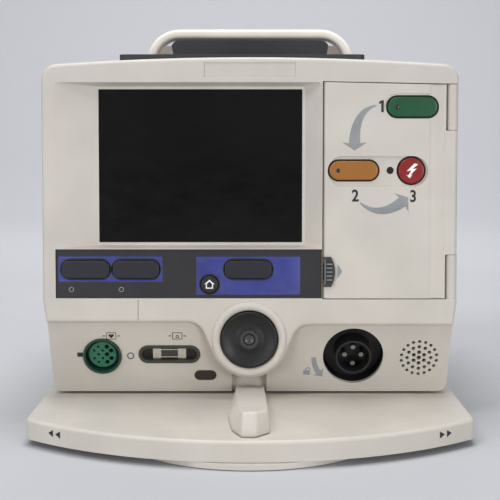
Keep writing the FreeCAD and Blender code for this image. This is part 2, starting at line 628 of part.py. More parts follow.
def front_bezel():
    body = new_body("front_bezel")
    low = d.lip_half
    top, bend = d.crown_corner, d.corner_round
    outline = tongue_corners(0) + [
        (low, d.lip_right), (d.half_width, d.waist_level), (d.half_width, d.shoulder_level),
        (d.half_width - bend, top, bend), (bend - d.half_width, top, d.crown_radius),
        (-d.half_width, d.shoulder_level, bend), (-d.half_width, d.waist_level), (-low, d.lip_left),
    ]
    pad(body, "outside", "XZ", d.split_line, d.front_face, outline)
    soften(body, "front_edge", d.edge_round, flat_at("y", d.front_face))
    side = d.lip_half - d.skin
    pocket(body, "cavity", "XZ", d.split_line, d.bezel_back,
           rectangle(-side, d.lip_left + d.skin, side, d.crown_corner - d.skin, d.foot_round))
    relief = d.therapy_collar + d.skin
    pocket(body, "therapy_relief", "XZ", d.split_line, d.bezel_back,
           rectangle(d.therapy_at - relief, d.lip_right - OVER, d.therapy_at + relief,
                     d.lip_left + d.skin + OVER))
    pocket(body, "dial_cavity", "XZ", d.split_line, d.tongue_wall,
           (d.dial_at, d.dial_level, d.tongue_cavity))
    screen_recess(body)
    pocket(body, "strip_recess", "XZ", d.front_face, d.strip_back,
           rectangle(d.recess_left, d.strip_low - d.strip_gap, d.recess_right - d.strip_gap,
                     d.strip_high + d.strip_gap))
    pocket(body, "door_recess", "XZ", d.front_face, d.door_floor,
           [(d.door_left - d.door_margin, d.door_low - d.door_margin),
            (d.half_width + OVER, d.door_low - d.door_margin),
            (d.half_width + OVER, d.door_high_right + d.door_margin),
            (d.door_left - d.door_margin, d.door_high_left + d.door_margin)])
    pocket(body, "name_plate", "XZ", d.front_face, d.front_face + d.plate_depth,
           rectangle(-d.plate_half, d.plate_low, d.plate_half, d.plate_high))
    pocket(body, "seam", "XZ", d.front_face, d.front_face + d.seam_depth,
           rectangle(d.seam_at, d.lip_left - OVER, d.seam_at + d.seam_wide, d.strip_low - OVER))
    pocket(body, "key_holes", "XZ", d.strip_back, d.bezel_back, *keypad_loops(d.key_gap))
    pocket(body, "treatment_holes", "XZ", d.door_floor, d.bezel_back, *treatment_loops(d.key_gap),
           (d.lamp_at, d.analyze_level, d.lamp_radius + d.pin_gap))
    slack = d.catch_slack
    pocket(body, "catch_slot", "XZ", d.door_floor, d.bezel_back,
           rectangle(d.catch_left - d.catch_play, d.catch_low - d.catch_play, d.catch_right + slack,
                     d.catch_high + d.catch_play))
    pocket(body, "ring_seat", "XZ", d.front_face, d.ring_back,
           (d.dial_at, d.dial_level, d.ring_seat + d.bolt_clear))
    pocket(body, "dial_well", "XZ", d.ring_back, d.well_floor,
           (d.dial_at, d.dial_level, d.well_radius))
    pocket(body, "shaft_bore", "XZ", d.well_floor, d.tongue_wall,
           (d.dial_at, d.dial_level, d.shaft_radius + d.shaft_gap))
    pocket(body, "barrel_clearance", "XY", d.knuckle_first - d.knuckle_gap,
           d.knuckle_second + d.knuckle_gap,
           (d.hinge_x, d.hinge_y, d.barrel_radius + d.barrel_clear))
    for name, low_end, high_end in (("lower", d.knuckle_low, d.knuckle_first - d.knuckle_gap),
                                    ("upper", d.knuckle_second + d.knuckle_gap, d.knuckle_high)):
        pad(body, f"{name}_web", "XY", low_end, high_end,
            rectangle(d.web_left, d.hinge_y, d.half_width, d.door_floor + OVER))
        pad(body, f"{name}_knuckle", "XY", low_end, high_end, (d.hinge_x, d.hinge_y, d.barrel_radius))
    pocket(body, "pin_bore", "XY", d.door_low - d.pin_foot, d.knuckle_high + OVER,
           (d.hinge_x, d.hinge_y, d.pin_radius + d.pin_gap))


def screen_recess(body):
    """Walls that slope in to the screen, then the window opening behind them."""
    rim = d.screen_rim
    outer = draw(body, "recess_mouth", "XZ", d.front_face - d.hair,
                 [rectangle(d.recess_left, d.recess_low, d.recess_right, d.recess_high,
                            d.recess_round)])
    inner = draw(body, "recess_floor", "XZ", d.recess_floor,
                 [rectangle(d.screen_left - rim, d.screen_low - rim, d.screen_right + rim,
                            d.screen_high + rim, d.recess_round / 2)])
    recess = body.newObject("PartDesign::SubtractiveLoft", "front_bezel_screen_recess")
    recess.Profile = outer
    recess.Sections = [inner]
    recess.Ruled = True
    pocket(body, "window", "XZ", d.recess_floor, d.bezel_back,
           rectangle(d.screen_left, d.screen_low, d.screen_right, d.screen_high))


def rear_case():
    body = new_body("rear_case")
    pad(body, "outside", "XZ", d.split_line, d.case_rear,
        case_loop(d.seam_step, d.case_floor))
    soften(body, "rear_edge", d.rear_round, flat_at("y", d.case_rear))
    inset = d.seam_step + d.skin
    pocket(body, "cavity", "XZ", d.split_line, d.case_rear - d.skin,
           case_loop(inset, d.case_floor + d.skin))
    pocket(body, "bottom_opening", "XY", d.case_floor, d.case_floor + d.foot_round,
           rectangle(-d.cover_half, d.cover_front, d.cover_half, d.cover_back))
    gap = d.tray_gap
    pocket(body, "tray_opening", "XY", d.tray_rim, d.tray_bottom - OVER,
           rectangle(d.tray_left - gap, d.tray_front - gap, d.tray_right + gap, d.tray_back + gap,
                     d.tray_round + gap))
    pocket(body, "printer_opening", "YZ", -d.half_width, -d.half_width + d.skin * 3,
           rectangle(d.printer_front, d.printer_low, d.printer_back, d.printer_high))
    gap = d.bay_gap
    port = rectangle(d.port_at - d.port_wide / 2, d.port_level - d.port_high / 2,
                     d.port_at + d.port_wide / 2, d.port_level + d.port_high / 2)
    inlet = rectangle(d.inlet_at - d.inlet_wide / 2, d.inlet_level - d.inlet_high / 2,
                      d.inlet_at + d.inlet_wide / 2, d.inlet_level + d.inlet_high / 2)
    bay = rectangle(d.battery_left - gap, d.battery_low - gap, d.battery_right + gap,
                    d.battery_high + gap)
    stud = (d.stud_at, d.port_level, d.stud_radius + d.pin_gap)
    screws = [(across, up, d.screw_radius + d.bolt_clear) for across, up in screw_places()]
    start, end = d.case_rear, d.case_rear - d.skin * 2
    pocket(body, "rear_openings", "XZ", start, end, port, inlet, bay, stud, *screws)
    vents = [rectangle(d.vent_at + step * d.vent_step, d.vent_low,
                       d.vent_at + step * d.vent_step + d.vent_wide, d.vent_high, d.vent_wide * d.pill_share)
             for step in range(VENT_COUNT)]
    pocket(body, "vents", "XZ", start, end, *vents)


def screw_places():
    return [(side * d.screw_x, up) for side in (-1, 1) for up in (d.screw_low, d.screw_high)]


def bottom_cover():
    gap = d.fit_gap
    keep("bottom_cover", block("bottom_cover",
                               (-d.cover_half + gap, d.cover_front + gap, d.case_floor),
                               (d.cover_half - gap, d.cover_back - gap, d.case_floor + d.cover_thick)))


def case_screws():
    screws = []
    for index, (across, up) in enumerate(screw_places()):
        shank = rod(f"shank_{index}", "y", (across, d.screw_root, up), d.case_rear - d.screw_root,
                    d.screw_radius)
        head = rod(f"head_{index}", "y", (across, d.case_rear, up), d.head_high, d.screw_head)
        screws.append(fuse(f"case_screw_{index}", shank, head))
    keep("case_screws", fuse("case_screws", *screws))


def connector_panel():
    """Panel that leans back to its foot, with cheeks back to the rear case."""
    body = new_body("connector_panel")
    gap = d.panel_inset
    low, high = d.case_floor + gap, d.panel_top
    side, foot = d.lip_half - gap, d.foot_half - gap
    sweep = tongue_corners(gap)
    lip = [(foot, low + d.foot_round, d.foot_round), (side, d.lip_right - gap)]
    outline = lip + [sweep[-1][:2]] + reverse_tail(sweep) + [
        (-side, d.lip_left - gap), (-foot, low + d.foot_round), (d.foot_round - foot, low, d.foot_round),
        (foot - d.foot_round, low)]
    pad(body, "outside", "XZ", d.split_line - gap, d.panel_front, outline)
    lean = (d.panel_foot - d.panel_front) / (high - low)

    def slope_at(level, inward=0):
        return d.panel_front + (high - level) * lean + inward

    thick = d.panel_thick
    behind = [(slope_at(low + thick, thick), low + thick), (d.split_line, low + thick),
              (d.split_line, high + OVER), (slope_at(high + OVER, thick), high + OVER)]
    pocket(body, "hollow", "YZ", thick - foot, foot - thick, behind)
    pad(body, "notch_box", "XZ", d.notch_back + thick, d.panel_front,
        rectangle(d.notch_left - thick, low, d.notch_right + thick, d.notch_roof))
    ahead = [(d.front_face - OVER, low - OVER), (slope_at(low - OVER), low - OVER),
             (slope_at(high + OVER), high + OVER), (d.front_face - OVER, high + OVER)]
    pocket(body, "slope", "YZ", -d.half_width, d.half_width, ahead)
    pocket(body, "lever_notch", "XZ", d.front_face, d.notch_back,
           rectangle(d.notch_left, low - OVER, d.notch_right, d.notch_top))
    sockets = [
        (d.ecg_at, -d.ecg_drop, d.ecg_radius + d.bolt_clear),
        around(d.ox_at, -d.ox_drop, d.ox_wide, d.ox_high, d.ox_round, d.bolt_clear),
        around(d.ir_at, -d.ir_drop, d.ir_wide, d.ir_high, d.ir_round, d.bolt_clear),
        (d.therapy_at, -d.therapy_drop, d.therapy_radius),
        (d.grille_at, -d.grille_drop, d.grille_hole),
    ]
    slope_pocket(body, "sockets", sockets, 0, 0)
    for ring in range(1, GRILLE_RINGS + 1):
        first = slope_pocket(body, f"grille_{ring}",
                             [(0, ring * d.grille_step, d.grille_hole - ring * d.grille_shrink)],
                             d.grille_at, -d.grille_drop)
        pattern = body.newObject("PartDesign::PolarPattern", f"grille_ring_{ring}")
        pattern.Originals = [first]
        pattern.Axis = (first.Profile[0], ["N_Axis"])
        pattern.Angle = 360
        pattern.Occurrences = 6 * ring
        body.Tip = pattern
    doc.recompute()


def reverse_tail(corners):
    """The same run of corners walked backwards, without its first point."""
    walked = []
    for index in range(len(corners) - 1, 0, -1):
        across, up = corners[index - 1][:2]
        arc = corners[index][2:]
        walked.append((across, up, -arc[0]) if arc else (across, up))
    return walked


def slope_pocket(body, name, loops, across, up):
    """Pocket square to the connector panel, drawn from a point on its face."""
    sketch = draw(body, name, "XZ", 0, loops)
    sketch.AttachmentOffset = Placement(Vector(), Rotation(Vector(1, 0, 0), d.slope.value))
    lean = d.slope.value * math.pi / 180
    run, rise = math.sin(lean), math.cos(lean)
    bind(sketch, "AttachmentOffset.Base.x", across)
    bind(sketch, "AttachmentOffset.Base.y", d.panel_top + as_size(up) * rise)
    bind(sketch, "AttachmentOffset.Base.z", -d.panel_front + as_size(up) * run)
    feature = body.newObject("PartDesign::Pocket", f"{body.Name}_{name}")
    feature.Profile = sketch
    bind(feature, "Length", d.panel_thick * 2)
    sketch.Visibility = False
    return feature

# ---------------------------------------------------------------- handle and tray


def handle():
    body = new_body("handle")
    bar, bend, inner = d.handle_bar, d.handle_round, d.handle_inner_round
    half, top, foot = d.handle_half, d.handle_top, d.handle_foot
    inside, under = half - bar, top - bar - d.handle_crown
    arch = [
        (half, foot), (half, top - bend), (half - bend, top, bend), (bend - half, top),
        (-half, top - bend, bend), (-half, foot), (-inside, foot), (-inside, under - inner),
        (inner - inside, under, -inner), (inside - inner, under), (inside, under - inner, -inner),
        (inside, foot),
    ]
    pad(body, "arch", "XZ", d.handle_back, d.handle_front, arch)
    soften(body, "front_edge", d.handle_edge, flat_at("y", d.handle_front))
    soften(body, "rear_edge", d.handle_edge, flat_at("y", d.handle_back))
    root = inside + bar / 2
    for name, side in (("left", -1), ("right", 1)):
        gusset = [(side * root, foot), (side * d.gusset_foot, foot),
                  (side * d.gusset_top, d.gusset_level), (side * root, d.gusset_level)]
        pad(body, f"{name}_gusset", "XZ", d.handle_back - OVER, d.gusset_front, gusset)
    holes = [(side * (half - bar / 2), along, d.handle_bolt)
             for side in (-1, 1) for along in bolt_lines()]
    pocket(body, "bolt_holes", "XY", foot, foot + d.bolt_up, *holes)


def bolt_lines():
    return d.bolt_first, d.bolt_second


def handle_bolts():
    bolts = []
    for side in (-1, 1):
        for index, along in enumerate(bolt_lines()):
            across = side * (d.handle_half - d.handle_bar / 2)
            shank = rod(f"bolt_{side + 1}_{index}", "z", (across, along, d.tray_bottom),
                        d.handle_foot - d.tray_bottom + d.bolt_up, d.handle_bolt - d.pin_gap)
            head = rod(f"bolt_head_{side + 1}_{index}", "z",
                       (across, along, d.tray_bottom - d.bolt_head_high), d.bolt_head_high, d.bolt_head)
            bolts.append(fuse(f"handle_bolt_{side + 1}_{index}", shank, head))
    keep("handle_bolts", fuse("handle_bolts", *bolts))


def top_tray():
    """Shallow tub with a raised rear wall."""
    body = new_body("top_tray")
    wall = d.tray_wall
    pad(body, "outside", "XY", d.tray_bottom, d.tray_rim,
        rectangle(d.tray_left, d.tray_front, d.tray_right, d.tray_back, d.tray_round))
    pocket(body, "inside", "XY", d.tray_rim, d.tray_floor,
           rectangle(d.tray_left + wall, d.tray_front + wall, d.tray_right - wall,
                     d.tray_back - wall, d.tray_round - wall))
    half, top, bend = d.wall_half, d.wall_top, d.wall_round
    raised = [(half, d.tray_floor), (half, top - bend), (half - bend, top, bend), (bend - half, top),
              (-half, top - bend, bend), (-half, d.tray_floor)]
    pad(body, "rear_wall", "XZ", d.tray_back - d.wall_inset, d.tray_back - d.wall_thick, raised)
    holes = [(side * (d.handle_half - d.handle_bar / 2), along, d.handle_bolt)
             for side in (-1, 1) for along in bolt_lines()]
    pocket(body, "bolt_holes", "XY", d.tray_floor, d.tray_bottom, *holes)


# ---------------------------------------------------------------- front panel


def keypad_strip():
    body = new_body("keypad_strip")
    pad(body, "plate", "XZ", d.strip_back, d.strip_front,
        rectangle(d.strip_left, d.strip_low, d.strip_right, d.strip_high), *keypad_loops(d.key_gap))


def keys():
    """Caps that stand in the holes of the bezel."""
    spots = {
        "print_key": (d.print_at, d.print_wide), "summary_key": (d.summary_at, d.summary_wide),
        "event_key": (d.event_at, d.event_wide),
    }
    for label, (at, wide) in spots.items():
        cap(label, around(at, d.key_row, wide, d.key_high, d.key_round), d.key_front, d.key_edge)
    cap("home_key", (d.home_at, d.home_level, d.home_radius), d.key_front, d.key_edge)
    start, analyze, shock = treatment_loops(0)
    cap("start_key", start, d.treat_front, d.treat_edge)
    cap("analyze_key", analyze, d.treat_front, d.treat_edge)
    cap("shock_key", shock, d.treat_front, d.treat_edge)
    lamp = d.lamp_back - d.lamp_front
    keep("status_lamp", rod("status_lamp", "y", (d.lamp_at, d.lamp_front, d.analyze_level), lamp,
                            d.lamp_radius))


def cap(label, loop, front, edge):
    body = new_body(label)
    pad(body, "cap", "XZ", d.key_back, front, loop)
    soften(body, "edge", edge, flat_at("y", front))


def switch_boards():
    strip = block("strip_board", (d.strip_left, d.switch_front, d.strip_low + d.board_margin),
                  (d.recess_right, d.switch_back, d.strip_high - d.board_margin))
    treatment = block("treatment_board", (d.door_left + d.board_margin, d.switch_front, d.pill_low),
                      (d.manual_right, d.switch_back, d.knuckle_high - d.board_margin))
    keep("switch_boards", fuse("switch_boards", strip, treatment))


def display():
    gap = d.fit_gap / 2
    low = (d.screen_left + gap, d.pane_front, d.screen_low + gap)
    high = (d.screen_right - gap, d.pane_front + d.pane_thick, d.screen_high - gap)
    keep("display_window", block("display_window", low, high))
    margin = d.module_margin
    keep("display_module", block(
        "display_module", (d.screen_left - margin, d.module_front, d.screen_low - d.module_foot),
        (d.screen_right + margin, d.module_back, d.screen_high + margin)))


def manual_panel():
    body = new_body("manual_panel")
    pad(body, "plate", "XZ", d.door_floor, d.door_floor - d.manual_thick,
        rectangle(d.manual_left, d.manual_low, d.manual_right, d.manual_high, d.manual_round))
    for column in range(PAD_COLUMNS):
        for line in range(PAD_LINES):
            left = d.pad_first + column * d.pad_step
            low = d.pad_level + line * d.pad_rise
            front = d.door_floor - d.manual_thick
            pad(body, f"pad_{column}_{line}", "XZ", front, front - d.pad_thick,
                rectangle(left, low, left + d.pad_wide, low + d.pad_tall))


# ---------------------------------------------------------------- door


def door():
    body = new_body("door")
    pad(body, "plate", "XZ", d.door_back, d.front_face, door_corners(0))
    soften(body, "free_edge", d.door_band,
           lambda edge: flat_at("y", d.front_face)(edge) and edge.BoundBox.XMax < d.door_left.value + OVER)
    pocket(body, "valley", "XY", d.door_low - OVER, d.door_high_left + OVER,
           (d.valley_at, d.front_face + d.valley_depth - d.valley_radius, d.valley_radius))
    pocket(body, "pill", "XZ", d.front_face, d.front_face + d.pill_depth,
           rectangle(d.pill_left, d.pill_low, d.pill_right, d.pill_high, d.pill_round))
    pocket(body, "start_dish", "XZ", d.front_face, d.front_face + d.pill_depth / 2,
           around(d.start_at, d.start_level, d.start_wide, d.start_high, d.start_high * d.pill_share,
                  d.start_frame))
    pocket(body, "key_openings", "XZ", d.front_face, d.door_back, *treatment_loops(d.door_gap),
           (d.lamp_at, d.analyze_level, d.lamp_radius + d.lamp_clear))
    pocket(body, "tab_notch", "XZ", d.front_face, d.door_back,
           rectangle(d.door_left - OVER, d.stem_low - d.tab_gap, d.tab_slot_right, d.stem_high + d.tab_gap))
    pad(body, "barrel_web", "XY", d.knuckle_first, d.knuckle_second,
        rectangle(d.door_right - OVER, d.front_face, d.hinge_x, d.hinge_y))
    pad(body, "barrel", "XY", d.knuckle_first, d.knuckle_second,
        (d.hinge_x, d.hinge_y, d.barrel_radius))
    pocket(body, "pin_bore", "XY", d.knuckle_first, d.knuckle_second,
           (d.hinge_x, d.hinge_y, d.pin_radius + d.pin_gap))
    start = (d.hinge_x, d.hinge_y, d.door_low)
    keep("hinge_pin", rod("hinge_pin", "z", start, d.knuckle_high - d.door_low - d.knuckle_gap,
                          d.pin_radius))


def release_tab():
    """Ribbed thumb cap over its slot, the slider behind the door that carries it, and its catch."""
    cap_back = d.front_face - d.tab_lift
    thumb = doc.addObject("PartDesign::Body", "tab_thumb")
    pad(thumb, "face", "XZ", cap_back, d.tab_front,
        [(d.tab_left, d.tab_low), (d.tab_right - d.tab_bow, d.tab_low),
         (d.tab_right - d.tab_bow, d.tab_high, d.tab_bow_radius), (d.tab_left, d.tab_high)])
    left, low = d.tab_left + d.rib_inset, d.tab_low + d.rib_first
    ribs = [rectangle(left, low + step * d.rib_step, left + d.rib_long, low + step * d.rib_step + d.rib_tall)
            for step in range(TAB_RIBS)]
    pocket(thumb, "ribs", "XZ", d.tab_front, d.tab_front + d.rib_deep, *ribs)
    stem = block("tab_stem", (d.tab_left, cap_back, d.stem_low),
                 (d.stem_right, d.slider_back, d.stem_high))
    slider = block("tab_slider", (d.tab_left, d.door_back + d.slide_gap, d.tab_low - d.slider_over),
                   (d.slider_right, d.slider_back, d.tab_high + d.slider_over))
    catch = block("tab_catch", (d.catch_left, d.slider_back, d.catch_low),
                  (d.catch_right, d.catch_back, d.catch_high))
    keep("release_tab", fuse("release_tab", thumb, stem, slider, catch))


# ---------------------------------------------------------------- dial


def dial():
    ring = new_body("dial_ring")
    inner, seat, outer, rise = d.ring_inner, d.ring_seat, d.ring_outer, d.ring_rise
    deep = d.ring_back - d.front_face
    crest = (outer - inner) / 2
    revolve(ring, "section", [
        (inner, as_size(0)), (seat, as_size(0)), (seat, deep + d.ring_lip), (outer, deep + d.ring_lip),
        (inner + crest, deep + rise, crest * d.crest_outer),
        (inner, deep + d.ring_step, crest * d.crest_inner),
    ])
    face_forward(ring, d.dial_at, d.ring_back, d.dial_level)
    knob = new_body("dial_knob")
    bore, tall, hub = d.shaft_radius + d.pin_gap, d.knob_deep, d.hub_radius
    dish = tall - d.dish_depth
    revolve(knob, "section", [
        (bore, as_size(0)), (d.dial_radius, as_size(0)), (d.dial_radius, tall - d.knob_edge),
        (d.dial_radius - d.knob_edge, tall, d.knob_edge), (hub + d.hub_flare, dish, -d.dial_radius),
        (hub, dish + d.hub_step), (d.hub_cap, dish + d.hub_step), (d.hub_cap, dish + d.hub_step / 2),
        (as_size(0), dish + d.hub_step / 2), (as_size(0), d.socket_deep), (bore, d.socket_deep),
    ])
    face_forward(knob, d.dial_at, d.knob_back, d.dial_level)
    start = (d.dial_at, d.knob_back - d.socket_deep + d.shaft_slack, d.dial_level)
    keep("dial_shaft", rod("dial_shaft", "y", start, d.shaft_back - d.knob_back + d.socket_deep,
                           d.shaft_radius))
    keep("dial_encoder", tube("dial_encoder", "y", (d.dial_at, d.encoder_front, d.dial_level),
                              d.encoder_back - d.encoder_front, d.encoder_radius,
                              d.shaft_radius + d.shaft_gap))


# ---------------------------------------------------------------- sockets on the slope


def slope_pill(name, across, drop, size, front, back):
    """Rounded bar through the panel: a block with its long edges rounded."""
    wide, high, bend = size
    bar = block(f"{name}_bar", (across - wide / 2, front, -drop - high / 2),
                (across + wide / 2, back, -drop + high / 2))
    doc.recompute()
    rounded = doc.addObject("Part::Fillet", name)
    rounded.Base = bar
    rounded.Edges = [(index, bend.value, bend.value) for index, edge in enumerate(bar.Shape.Edges, 1)
                     if edge.BoundBox.XLength < 1e-3 and edge.BoundBox.ZLength < 1e-3]
    return rounded


def ecg_socket():
    at, up = d.ecg_at, -d.ecg_drop
    keep("ecg_socket", on_slope(tube("ecg_socket", "y", (at, -d.ecg_proud, up),
                                     d.ecg_deep + d.ecg_proud, d.ecg_radius, d.ecg_bore)))
    seat = rod("ecg_seat", "y", (at, d.groove_floor, up), d.ecg_deep - d.groove_floor,
               d.ecg_bore - d.pin_gap)
    nose = rod("ecg_nose", "y", (at, d.ecg_insert, up), d.ecg_deep - d.ecg_insert, d.nose_radius)
    small = ((-1, 2), (-2, 1), (0, 1), (-1, 0), (-2, -1), (0, -1), (-1, -2))
    large = ((1, 2), (2, 1), (1, 0), (2, -1), (1, -2))
    holes = []
    for radius, spots in ((d.pin_hole, small), (d.wide_hole, large)):
        for column, row in spots:
            spot = (at + column * d.pin_pitch, 0, up + row * d.pin_pitch)
            holes.append(rod(f"ecg_hole_{len(holes)}", "y", spot, d.hole_end, radius))
    keep("ecg_insert", on_slope(cut("ecg_insert", fuse("ecg_plug", seat, nose), *holes)))


def oximeter_socket():
    at, up, wall = d.ox_at, -d.ox_drop, d.ox_wall
    shell = slope_pill("ox_outside", at, -up, (d.ox_wide, d.ox_high, d.ox_round), -d.ox_proud, d.ox_deep)
    hollow = slope_pill("ox_inside", at, -up, (d.ox_wide - wall * 2, d.ox_high - wall * 2,
                                               d.ox_round - wall), -d.ox_proud - OVER, d.ox_floor)
    half = d.contact_at - d.contact_wide / 2
    tongue = block("ox_tongue", (at - half, d.contact_front, up - d.tongue_high / 2),
                   (at + half, d.ox_floor + d.tongue_root, up + d.tongue_high / 2))
    socket = cut("ox_shell", shell, hollow)
    keep("oximeter_socket", on_slope(fuse("oximeter_socket", socket, tongue)))
    pieces = []
    for side in (-1, 1):
        middle = at + side * d.contact_at
        pieces.append(block(f"ox_contact_{side + 1}",
                            (middle - d.contact_wide / 2, d.contact_front, up - d.contact_high / 2),
                            (middle + d.contact_wide / 2, d.ox_floor, up + d.contact_high / 2)))
    for level, name in ((up - d.tongue_high / 2 - d.rail_high, "low"), (up + d.tongue_high / 2, "high")):
        pieces.append(block(f"ox_rail_{name}", (at - half, d.contact_front, level),
                            (at + half, d.ox_floor, level + d.rail_high)))
    keep("oximeter_contacts", on_slope(fuse("oximeter_contacts", *pieces)))
    window = slope_pill("infrared_window", d.ir_at, d.ir_drop, (d.ir_wide, d.ir_high, d.ir_round),
                        -d.ir_proud, d.ir_deep)
    keep("infrared_window", on_slope(window))


def therapy_socket():
    at, up = d.therapy_at, -d.therapy_drop
    keep("therapy_socket", on_slope(tube(
        "therapy_socket", "y", (at, d.panel_thick + d.collar_gap, up), d.therapy_deep - d.panel_thick,
        d.therapy_collar, d.therapy_radius)))
    core = rod("therapy_core", "y", (at, d.therapy_floor, up), d.therapy_deep - d.therapy_floor,
               d.therapy_radius - d.pin_gap)
    spigot = tube("therapy_spigot", "y", (at, d.spigot_front, up), d.therapy_floor - d.spigot_front,
                  d.spigot_radius, d.spigot_radius - d.spigot_wall)
    keep("therapy_insert", on_slope(fuse("therapy_insert", core, spigot)))
    spots = ((0, d.pin_top), (0, d.pin_bottom), (-d.pin_side, d.pin_side_up), (d.pin_side, d.pin_side_up))
    pins = [rod(f"therapy_pin_{index}", "y", (at + across, d.pins_front, up + rise),
                d.therapy_floor - d.pins_front, d.contact_radius)
            for index, (across, rise) in enumerate(spots)]
    keep("therapy_pins", on_slope(fuse("therapy_pins", *pins)))


def speaker():
    at, up = d.grille_at, -d.grille_drop
    basket = rod("speaker_basket", "y", (at, d.speaker_front, up), d.basket_deep, d.speaker_radius)
    magnet = rod("speaker_magnet", "y", (at, d.speaker_front, up), d.speaker_back - d.speaker_front,
                 d.magnet_radius)
    keep("speaker", on_slope(fuse("speaker", basket, magnet)))


# ---------------------------------------------------------------- inside the case


def electronics():
    thick = d.chassis_thick
    wall = block("chassis_wall", (-d.chassis_half, d.chassis_front, d.chassis_low),
                 (d.chassis_half, d.chassis_front + thick, d.chassis_high))
    shelf = block("chassis_shelf", (-d.shelf_half, d.chassis_front, d.chassis_low),
                  (d.shelf_half, d.shelf_back, d.chassis_low + thick))
    keep("chassis_frame", fuse("chassis_frame", wall, shelf))
    keep("main_board", block("main_board", (-d.board_half, d.board_front, d.board_low),
                             (d.board_half, d.board_front + d.board_thick, d.board_high)))
    keep("power_supply", block("power_supply", (d.supply_left, d.supply_front, d.supply_low),
                               (d.supply_right, d.supply_back, d.supply_high)))
    keep("energy_capacitor", rod("energy_capacitor", "x", (d.cell_left, d.cell_y, d.cell_level),
                                 d.cell_length, d.cell_radius))


def battery():
    gap, wall = d.bay_gap, d.bay_wall
    pack = block("battery_case", (d.battery_left, d.battery_front, d.battery_low),
                 (d.battery_right, d.battery_rear, d.battery_high))
    middle, level = (d.battery_left + d.battery_right) / 2, (d.battery_low + d.battery_high) / 2
    grip = block("battery_grip",
                 (middle - d.grip_half, d.battery_rear - d.grip_deep, level - d.grip_high / 2),
                 (middle + d.grip_half, d.battery_rear + OVER, level + d.grip_high / 2))
    keep("battery_pack", cut("battery_pack", pack, grip))
    outer = [gap + wall, gap]
    shells = []
    for name, margin, front in (("bay_outside", outer[0], d.battery_front - wall - gap),
                                ("bay_inside", outer[1], d.battery_front - gap)):
        shells.append(block(name, (d.battery_left - margin, front, d.battery_low - margin),
                            (d.battery_right + margin, d.bay_back, d.battery_high + margin)))
    keep("battery_bay", cut("battery_bay", *shells))


def printer():
    """Strip-chart recorder behind a flap in the side of the case."""
    skin, wall = d.skin + d.seam_step + d.flap_clear, d.printer_wall
    left = -d.half_width + skin
    outside = block("printer_outside", (left, d.printer_front + d.frame_gap, d.printer_low + d.frame_gap),
                    (d.printer_deep, d.printer_back - d.frame_gap, d.printer_high - d.frame_gap))
    inset = d.frame_gap + wall
    inside = block("printer_inside", (left - OVER, d.printer_front + inset, d.printer_low + inset),
                   (d.printer_deep - wall, d.printer_back - inset, d.printer_high - inset))
    middle = (d.printer_front + d.printer_back) / 2
    keep("paper_roll", tube("paper_roll", "y", (d.roll_x, middle - d.roll_half, d.roll_level),
                            d.roll_half * 2, d.roll_radius, d.roll_core))
    spindle = d.printer_back - d.printer_front - inset * 2
    holder = rod("paper_spindle", "y", (d.roll_x, middle - spindle / 2, d.roll_level), spindle,
                 d.spindle_radius)
    keep("printer_frame", fuse("printer_frame", cut("printer_box", outside, inside), holder))
    spindle = spindle - d.flap_gap
    roller = rod("platen_tube", "y", (d.platen_x, middle - d.roll_half, d.platen_level),
                 d.roll_half * 2, d.platen_radius)
    axle = rod("platen_axle", "y", (d.platen_x, middle - spindle / 2, d.platen_level), spindle, d.platen_pin)
    keep("platen_roller", fuse("platen_roller", roller, axle))
    flap(middle)


def flap(middle):
    body = new_body("printer_flap")
    outer = -d.half_width + d.seam_step
    gap = d.flap_gap
    pad(body, "plate", "YZ", outer, outer + d.flap_thick,
        rectangle(d.printer_front + gap, d.printer_low + gap * 2, d.printer_back - gap,
                  d.printer_high - gap, d.flap_round))
    pocket(body, "paper_slot", "YZ", outer, outer + d.flap_thick,
           rectangle(middle - d.slot_half, d.slot_low, middle + d.slot_half, d.slot_high))
    pocket(body, "pin_bore", "XZ", d.printer_front, d.printer_back,
           (d.flap_pin_x, d.flap_pin_z, d.flap_pin + d.pin_gap))
    keep("flap_pin", rod("flap_pin", "y", (d.flap_pin_x, d.printer_front, d.flap_pin_z),
                         d.printer_back - d.printer_front, d.flap_pin))


# ---------------------------------------------------------------- rear connectors


def rear_connectors():
    gap = d.fit_gap / 2
    at, up = d.inlet_at, d.inlet_level
    wide, high = d.inlet_wide / 2 - gap, d.inlet_high / 2 - gap
    rear = d.case_rear + d.inlet_proud
    shell = block("inlet_shell", (at - wide, d.inlet_front, up - high), (at + wide, rear, up + high))
    wall = d.inlet_wall
    mouth = block("inlet_mouth", (at - wide + wall, rear - d.inlet_deep, up - high + wall),
                  (at + wide - wall, rear + OVER, up + high - wall))
    housing = cut("inlet_housing", shell, mouth)
    blades = []
    for index, (step, rise) in enumerate(((-1, -1), (0, 1), (1, -1))):
        across, level = at + step * d.blade_step, up + rise * d.blade_rise
        blades.append(block(f"blade_{index}", (across - d.blade_wide / 2, rear - d.inlet_deep,
                                               level - d.blade_high / 2),
                            (across + d.blade_wide / 2, rear - d.blade_short, level + d.blade_high / 2)))
    keep("mains_inlet", fuse("mains_inlet", housing, *blades))
    wide, high = d.port_wide / 2 - gap, d.port_high / 2 - gap
    plug = block("port_body", (d.port_at - wide, d.port_front, d.port_level - high),
                 (d.port_at + wide, rear, d.port_level + high))
    wide, high = wide - d.port_wall, high - d.port_wall
    dish = block("port_dish", (d.port_at - wide, rear - d.port_deep, d.port_level - high),
                 (d.port_at + wide, rear + OVER, d.port_level + high))
    keep("data_port", cut("data_port", plug, dish))
    stem = rod("stud_stem", "y", (d.stud_at, d.stud_root, d.port_level), d.stud_tip - d.stud_root,
               d.stud_radius)
    collar = rod("stud_collar", "y", (d.stud_at, d.case_rear, d.port_level), d.head_high, d.stud_collar)
    keep("ground_stud", fuse("ground_stud", stem, collar))


